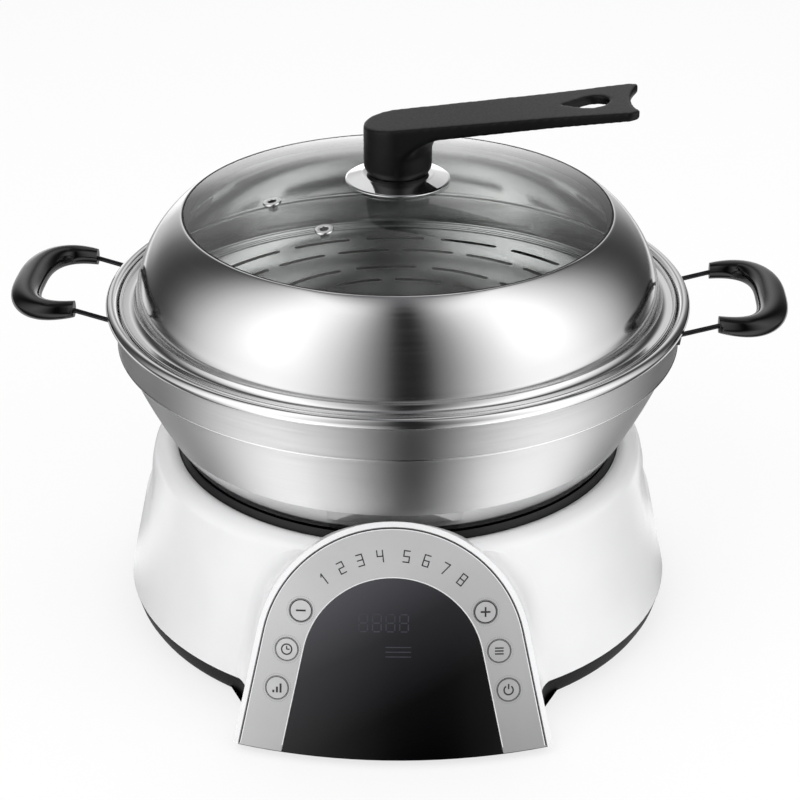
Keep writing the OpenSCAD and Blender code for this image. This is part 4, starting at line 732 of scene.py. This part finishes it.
def dottedRings():
    mesh = bpy.data.meshes.new("dottedRings")
    mesh.from_pydata([(u * 0.001, w * 0.001, 0) for u, w in keyMarks["places"].values()], [], [])
    holder = bpy.data.objects.new("dottedRings", mesh)
    scene.collection.objects.link(holder)
    tree = bpy.data.node_groups.new("dottedRingTree", "GeometryNodeTree")
    tree.interface.new_socket("Geometry", in_out="INPUT", socket_type="NodeSocketGeometry")
    sizes = {"Ring Radius": dots["ringR"] * 0.001, "Dot Radius": dots["dotR"] * 0.001,
             "Face Radius": panel["frontR"] * 0.001, "Lift": dots["lift"] * 0.001}
    sockets = {name: tree.interface.new_socket(name, in_out="INPUT", socket_type="NodeSocketFloat") for name in sizes}
    tree.interface.new_socket("Geometry", in_out="OUTPUT", socket_type="NodeSocketGeometry")
    given = addNode(tree, "NodeGroupInput").outputs
    circle = addNode(tree, "GeometryNodeMeshCircle", {"Vertices": dots["count"]}, {"Radius": given["Ring Radius"]})
    dot = addNode(tree, "GeometryNodeMeshCircle", {"fill_type": "NGON", "Vertices": 8}, {"Radius": given["Dot Radius"]})
    ring = addNode(tree, "GeometryNodeInstanceOnPoints", {}, {"Points": circle, "Instance": dot})
    placed = addNode(tree, "GeometryNodeInstanceOnPoints", {}, {"Points": given["Geometry"], "Instance": ring})
    real = addNode(tree, "GeometryNodeRealizeInstances", {}, {"Geometry": placed})
    spot = addNode(tree, "ShaderNodeSeparateXYZ", {}, {"Vector": addNode(tree, "GeometryNodeInputPosition").outputs[0]})
    across = addNode(tree, "ShaderNodeMath", {"operation": "MULTIPLY"}, {0: spot.outputs["X"], 1: spot.outputs["X"]})
    whole = addNode(tree, "ShaderNodeMath", {"operation": "MULTIPLY"}, {0: given["Face Radius"], 1: given["Face Radius"]})
    rest = addNode(tree, "ShaderNodeMath", {"operation": "SUBTRACT"}, {0: whole, 1: across})
    root = addNode(tree, "ShaderNodeMath", {"operation": "SQRT"}, {0: rest})
    drop = addNode(tree, "ShaderNodeMath", {"operation": "SUBTRACT"}, {0: root, 1: given["Face Radius"]})
    height = addNode(tree, "ShaderNodeMath", {"operation": "ADD"}, {0: drop, 1: given["Lift"]})
    offset = addNode(tree, "ShaderNodeCombineXYZ", {}, {"Z": height})
    bowed = addNode(tree, "GeometryNodeSetPosition", {}, {"Geometry": real, "Offset": offset})
    inked = addNode(tree, "GeometryNodeSetMaterial", {"Material": paleInk}, {"Geometry": bowed})
    addNode(tree, "NodeGroupOutput", {}, {"Geometry": inked})
    modifier = holder.modifiers.new("dots", "NODES")
    modifier.node_group = tree
    for name, size in sizes.items():
        modifier[sockets[name].identifier] = size
    bpy.context.view_layer.update()
    result = bpy.data.meshes.new_from_object(holder.evaluated_get(bpy.context.evaluated_depsgraph_get()))
    bpy.data.objects.remove(holder)
    result.transform(slope)
    return result


placePiece("dottedRings", dottedRings(), paleInk, "control_panel", False)

# thin dark line along the panel's edge, and painted highlights beside it and round the window, standing for bright
# turned edges
edgeLine = {"steps": 90, "lowW": 5.8, "dark": (0.45, 0.7), "bright": (1.05, 0.5), "round": (-0.55, 0.5)}


def archLine(centre, radius, steps):
    spread = math.radians(panel["spread"])
    top = Vector((radius * math.cos(spread), centre + radius * math.sin(spread)))
    low = Vector((top.x + (top.y - edgeLine["lowW"]) * math.tan(spread), edgeLine["lowW"]))
    side = [tuple(low.lerp(top, i / 12)) for i in range(12)]
    return side + arcPath((0, centre), radius, panel["spread"], 180 - panel["spread"], steps) + [
        (-u, w) for u, w in reversed(side)]


def archQuads(centre, radius, line):
    inset, width = line
    outer = archLine(centre, radius - inset + width / 2, edgeLine["steps"])
    inner = archLine(centre, radius - inset - width / 2, edgeLine["steps"])
    return [[inner[i], outer[i], outer[i + 1], inner[i + 1]] for i in range(len(outer) - 1)]


darkQuads = archQuads(panel["archC"], panel["archR"], edgeLine["dark"])
placePiece("panelLine", inkPlate("panelLine", darkQuads, 0.0), screenInk, "control_panel", False)
# painted highlights: pale plates laid flat on the panel
highlightQuads = archQuads(panel["archC"], panel["archR"], edgeLine["bright"]) + archQuads(
    panel["windowC"], panel["windowR"], edgeLine["round"])
placePiece("panelEdgeHighlights", inkPlate("panelEdgeHighlights", highlightQuads, 0.0), paintedEdgeHighlight, "control_panel", False)

# plain numbers from strokes on a grid, two wide and four high
numberStrokes = {
    "1": [(0.4, 3.2, 1, 4), (1, 4, 1, 0)], "2": [(0, 4, 2, 4), (2, 4, 2, 2), (2, 2, 0, 2), (0, 2, 0, 0), (0, 0, 2, 0)],
    "3": [(0, 4, 2, 4), (2, 4, 2, 0), (0, 2, 2, 2), (0, 0, 2, 0)], "4": [(0, 4, 0, 2), (0, 2, 2, 2), (2, 4, 2, 0)],
    "5": [(2, 4, 0, 4), (0, 4, 0, 2), (0, 2, 2, 2), (2, 2, 2, 0), (2, 0, 0, 0)],
    "6": [(2, 4, 0, 4), (0, 4, 0, 0), (0, 0, 2, 0), (2, 0, 2, 2), (2, 2, 0, 2)], "7": [(0, 4, 2, 4), (2, 4, 0.8, 0)],
    "8": [(0, 0, 0, 4), (0, 4, 2, 4), (2, 4, 2, 0), (2, 0, 0, 0), (0, 2, 2, 2)]}
scaleMarks = {"centre": (0.0, 51.0), "r": 60.0, "span": 37.0, "size": 1.55, "line": 0.62, "gap": 1.6}
scaleShapes = []
for place, digit in enumerate("12345678"):
    lean = scaleMarks["span"] * (1 - 2 * place / 7) + (scaleMarks["gap"] if place < 4 else -scaleMarks["gap"])
    along = Vector((math.cos(math.radians(lean)), math.sin(math.radians(lean))))
    away = Vector((-along.y, along.x))
    middle = Vector(scaleMarks["centre"]) + scaleMarks["r"] * away
    for x0, y0, x1, y1 in numberStrokes[digit]:
        ends = [middle + scaleMarks["size"] * ((x - 1) * along + (y - 2) * away) for x, y in ((x0, y0), (x1, y1))]
        reach = (ends[1] - ends[0]).normalized() * scaleMarks["line"] / 2
        scaleShapes.append(stroke(ends[0] - reach, ends[1] + reach, scaleMarks["line"]))
placePiece("scaleNumbers", inkPlate("scaleNumbers", scaleShapes, 0.0), screenInk, "control_panel", False)

# unlit digits and three short bars on the window's face, the bars in steps so that they follow its bow
digits = {"u": -18.5, "w": 69.5, "pitch": 7.4, "size": 2.35, "line": 0.75, "barW": 61.0, "barU": -4.0, "barStep": 2.0,
          "barSteps": 7, "barDrop": 2.6, "barLine": 0.6}
segmentShapes = []
digitStrokes = [(0, 0, 0, 2), (0, 2, 0, 4), (2, 0, 2, 2), (2, 2, 2, 4), (0, 0, 2, 0), (0, 2, 2, 2), (0, 4, 2, 4)]
for place in range(4):
    corner = Vector((digits["u"] + place * digits["pitch"], digits["w"]))
    for x0, y0, x1, y1 in digitStrokes:
        start = corner + digits["size"] * Vector((x0, y0))
        end = corner + digits["size"] * Vector((x1, y1))
        segmentShapes.append(stroke(start.lerp(end, 0.12), start.lerp(end, 0.88), digits["line"]))
for row in range(3):
    w = digits["barW"] - digits["barDrop"] * row
    for k in range(digits["barSteps"]):
        u = digits["barU"] + digits["barStep"] * k
        segmentShapes.append(stroke((u, w), (u + digits["barStep"], w), digits["barLine"]))
placePiece("displaySegments", inkPlate("displaySegments", segmentShapes, 0.02, 0.04), unlitSegment, "display_window", False)
print("marks made")


# stage: floor, a shell that only reflections see, lamps and camera
floor = {"half": 6.0, "glow": 0.75}
shell = {"r": 3.0, "floorR": 0.17, "turn": 6.0, "steps": 24, "segments": 96, "lift": 0.002, "strength": 1.35,
         "greyFrom": 2.7, "greyTo": 3.0, "plainR": 1.2, "widen": 1.6, "near": 0.4, "horizon": 1.3, "core": 0.3,
         "farFrom": 0.8, "farTo": 1.4, "lowFrom": 0.9, "lowTo": 0.5, "backFrom": 0.88, "backTo": 0.95}


def seenDirectly(tree):
    path = addNode(tree, "ShaderNodeLightPath")
    first = addNode(tree, "ShaderNodeMath", {"operation": "MAXIMUM"},
                    {0: path.outputs["Is Camera Ray"], 1: path.outputs["Is Glossy Ray"]})
    return addNode(tree, "ShaderNodeMath", {"operation": "MAXIMUM"},
                   {0: first, 1: path.outputs["Is Transmission Ray"]}).outputs["Value"]


def stagePlane(name, corners, material):
    mesh = bpy.data.meshes.new(name)
    mesh.from_pydata(corners, [], [(0, 1, 2, 3)])
    mesh.materials.append(material)
    plane = bpy.data.objects.new(name, mesh)
    scene.collection.objects.link(plane)
    return plane


def paleFloor():
    material, tree = newMaterial("paleFloor")
    plain = addNode(tree, "ShaderNodeBsdfDiffuse", {"Color": linear("#f2f2f2")})
    glow = addNode(tree, "ShaderNodeEmission", {"Color": linear("#ffffff"), "Strength": 1.0})
    share = addNode(tree, "ShaderNodeMath", {"operation": "MULTIPLY", 1: floor["glow"]}, {0: seenDirectly(tree)})
    both = addNode(tree, "ShaderNodeMixShader", {}, {0: share, 1: plain, 2: glow})
    addNode(tree, "ShaderNodeOutputMaterial", {}, {"Surface": both})
    return material


# what bright metal sees: white softboxes at both sides, dark before and behind, grey above
def studioWalls():
    material, tree = newMaterial("studioWalls")
    coords = addNode(tree, "ShaderNodeTexCoord").outputs["Object"]
    split = addNode(tree, "ShaderNodeSeparateXYZ", {}, {"Vector": coords})
    ahead = addNode(tree, "ShaderNodeMath", {"operation": "MULTIPLY", 1: -1.0}, {0: split.outputs["Y"]})
    angle = addNode(tree, "ShaderNodeMath", {"operation": "ARCTAN2"}, {0: split.outputs["X"], 1: ahead})
    size = addNode(tree, "ShaderNodeMath", {"operation": "ABSOLUTE"}, {0: angle})
    flat = addNode(tree, "ShaderNodeVectorMath", {"operation": "MULTIPLY", 1: (1, 1, 0)}, {0: coords})
    away = addNode(tree, "ShaderNodeVectorMath", {"operation": "LENGTH"}, {0: flat})
    widen = addNode(tree, "ShaderNodeMapRange", {
        "From Min": shell["floorR"], "From Max": shell["plainR"], "To Min": shell["widen"], "To Max": 1.0},
        {"Value": away.outputs["Value"]})
    wide = addNode(tree, "ShaderNodeMath", {"operation": "MULTIPLY"}, {0: size, 1: widen})
    share = addNode(tree, "ShaderNodeMapRange", {"From Max": math.pi}, {"Value": wide})
    around = addNode(tree, "ShaderNodeValToRGB", {}, {"Fac": share})
    around.color_ramp.interpolation = "B_SPLINE"
    setRamp(around, [(0.0, "#202021"), (0.06, "#2a2a2b"), (0.165, "#d2d2d2"), (0.27, "#ffffff"), (0.40, "#ffffff"),
                     (0.53, "#c0c0c0"), (0.64, "#222223"), (0.79, "#343435"), (0.88, "#d0d0d0"), (0.94, "#d8d8d8"),
                     (1.0, "#6a6a6b")])
    high = addNode(tree, "ShaderNodeMapRange", {
        "interpolation_type": "SMOOTHSTEP", "From Min": shell["greyFrom"], "From Max": shell["greyTo"]},
        {"Value": split.outputs["Z"]})
    mixed = addNode(tree, "ShaderNodeMix", {"data_type": "RGBA", 7: linear("#606062")}, {
        0: high, 6: around})
    far = addNode(tree, "ShaderNodeMapRange", {"From Min": shell["farFrom"], "From Max": shell["farTo"]},
                  {"Value": away.outputs["Value"]})
    low = addNode(tree, "ShaderNodeMapRange", {"From Min": shell["lowFrom"], "From Max": shell["lowTo"]},
                  {"Value": split.outputs["Z"]})
    back = addNode(tree, "ShaderNodeMapRange", {"From Min": shell["backFrom"], "From Max": shell["backTo"]},
                   {"Value": share})
    farLow = addNode(tree, "ShaderNodeMath", {"operation": "MULTIPLY"}, {0: far, 1: low})
    horizon = addNode(tree, "ShaderNodeMath", {"operation": "MULTIPLY"}, {0: farLow, 1: back})
    lit = addNode(tree, "ShaderNodeMix", {"data_type": "RGBA", 7: (*[shell["horizon"]] * 3, 1.0)}, {
        0: horizon, 6: mixed.outputs[2]})
    beside = addNode(tree, "ShaderNodeValToRGB", {}, {"Fac": share})
    beside.color_ramp.interpolation = "B_SPLINE"
    setRamp(beside, [(0.2, "#000000"), (0.31, "#ffffff"), (0.35, "#ffffff"), (0.46, "#000000")])
    level = addNode(tree, "ShaderNodeMapRange", {"From Max": shell["r"]}, {"Value": split.outputs["Z"]})
    upright = addNode(tree, "ShaderNodeValToRGB", {}, {"Fac": level})
    upright.color_ramp.interpolation = "B_SPLINE"
    setRamp(upright, [(0.1, "#000000"), (0.4, "#ffffff"), (0.7, "#ffffff"), (0.9, "#000000")])
    core = addNode(tree, "ShaderNodeMath", {"operation": "MULTIPLY"}, {0: beside, 1: upright})
    gain = addNode(tree, "ShaderNodeMath", {"operation": "MULTIPLY_ADD", 1: shell["core"], 2: 1.0}, {0: core})
    plain = addNode(tree, "ShaderNodeMath", {
        "operation": "MULTIPLY_ADD", 1: shell["strength"] * shell["near"], 2: shell["strength"] * (1 - shell["near"])},
        {0: widen})
    power = addNode(tree, "ShaderNodeMath", {"operation": "MULTIPLY"}, {0: plain, 1: gain})
    glow = addNode(tree, "ShaderNodeEmission", {}, {"Color": lit.outputs[2], "Strength": power})
    addNode(tree, "ShaderNodeOutputMaterial", {}, {"Surface": glow})
    return material


stagePlane("floor", [(x * floor["half"], y * floor["half"], 0) for x, y in ((-1, -1), (1, -1), (1, 1), (-1, 1))],
           paleFloor())


def shellMesh():
    rise = [math.pi / 2 * i / shell["steps"] for i in range(shell["steps"])]
    loop = [(shell["floorR"], shell["lift"])]
    loop += [(shell["r"] * math.cos(a), shell["r"] * math.sin(a) + shell["lift"]) for a in rise]
    turns = [2 * math.pi * k / shell["segments"] for k in range(shell["segments"])]
    points = [(r * math.cos(a), r * math.sin(a), z) for a in turns for r, z in loop]
    count = len(loop)
    faces = []
    for k in range(shell["segments"]):
        here = k * count
        ahead = (k + 1) % shell["segments"] * count
        faces += [(here + i, ahead + i, ahead + i + 1, here + i + 1) for i in range(count - 1)]
    faces.append(tuple(k * count + count - 1 for k in range(shell["segments"])))
    mesh = bpy.data.meshes.new("studioShell")
    mesh.from_pydata(points, [], faces)
    mesh.materials.append(studioWalls())
    return mesh


walls = bpy.data.objects.new("studioShell", shellMesh())
walls.rotation_euler = (0, 0, math.radians(shell["turn"]))
scene.collection.objects.link(walls)
for ray in ("camera", "diffuse", "shadow", "transmission"):
    setattr(walls, "visible_" + ray, False)

studio = {"ambient": 0.72}
world = bpy.data.worlds.new("studio")
scene.world = world
world.use_nodes = True
worldTree = world.node_tree
worldTree.nodes.clear()
ambient = addNode(worldTree, "ShaderNodeBackground", {"Color": linear("#ffffff"), "Strength": studio["ambient"]})
backdrop = addNode(worldTree, "ShaderNodeBackground", {"Color": linear("#ffffff"), "Strength": 1.0})
choice = addNode(worldTree, "ShaderNodeMixShader", {}, {
    0: seenDirectly(worldTree), 1: ambient, 2: backdrop})
addNode(worldTree, "ShaderNodeOutputWorld", {}, {"Surface": choice})

# lamps: place in metres, width in metres, power in watts
lamps = {"keyLamp": ((-0.9, -1.1, 1.7), 1.2, 12.0), "fillLamp": ((1.3, -0.9, 1.2), 1.4, 7.0),
         "topLamp": ((0.1, 0.6, 1.9), 1.6, 9.0)}
for name, (place, width, power) in lamps.items():
    data = bpy.data.lights.new(name, "AREA")
    data.size = width
    data.energy = power
    lamp = bpy.data.objects.new(name, data)
    lamp.visible_glossy = False
    lamp.location = place
    lamp.rotation_euler = (Vector((0, 0, 0.12)) - Vector(place)).to_track_quat("-Z", "Y").to_euler()
    scene.collection.objects.link(lamp)

view = {"turn": 0.9, "away": 1.1583, "height": 0.7144, "aimZ": 0.12425, "lens": 97.3, "shiftX": 0.00275}
cameraData = bpy.data.cameras.new("camera")
cameraData.lens = view["lens"]
cameraData.sensor_width = 36.0
cameraData.shift_x = view["shiftX"]
camera = bpy.data.objects.new("camera", cameraData)
turn = math.radians(view["turn"])
camera.location = (view["away"] * math.sin(turn), -view["away"] * math.cos(turn), view["height"])
camera.rotation_euler = (Vector((0, 0, view["aimZ"])) - camera.location).to_track_quat("-Z", "Y").to_euler()
scene.collection.objects.link(camera)
scene.camera = camera
scene.view_settings.view_transform = "Standard"
print("stage set")
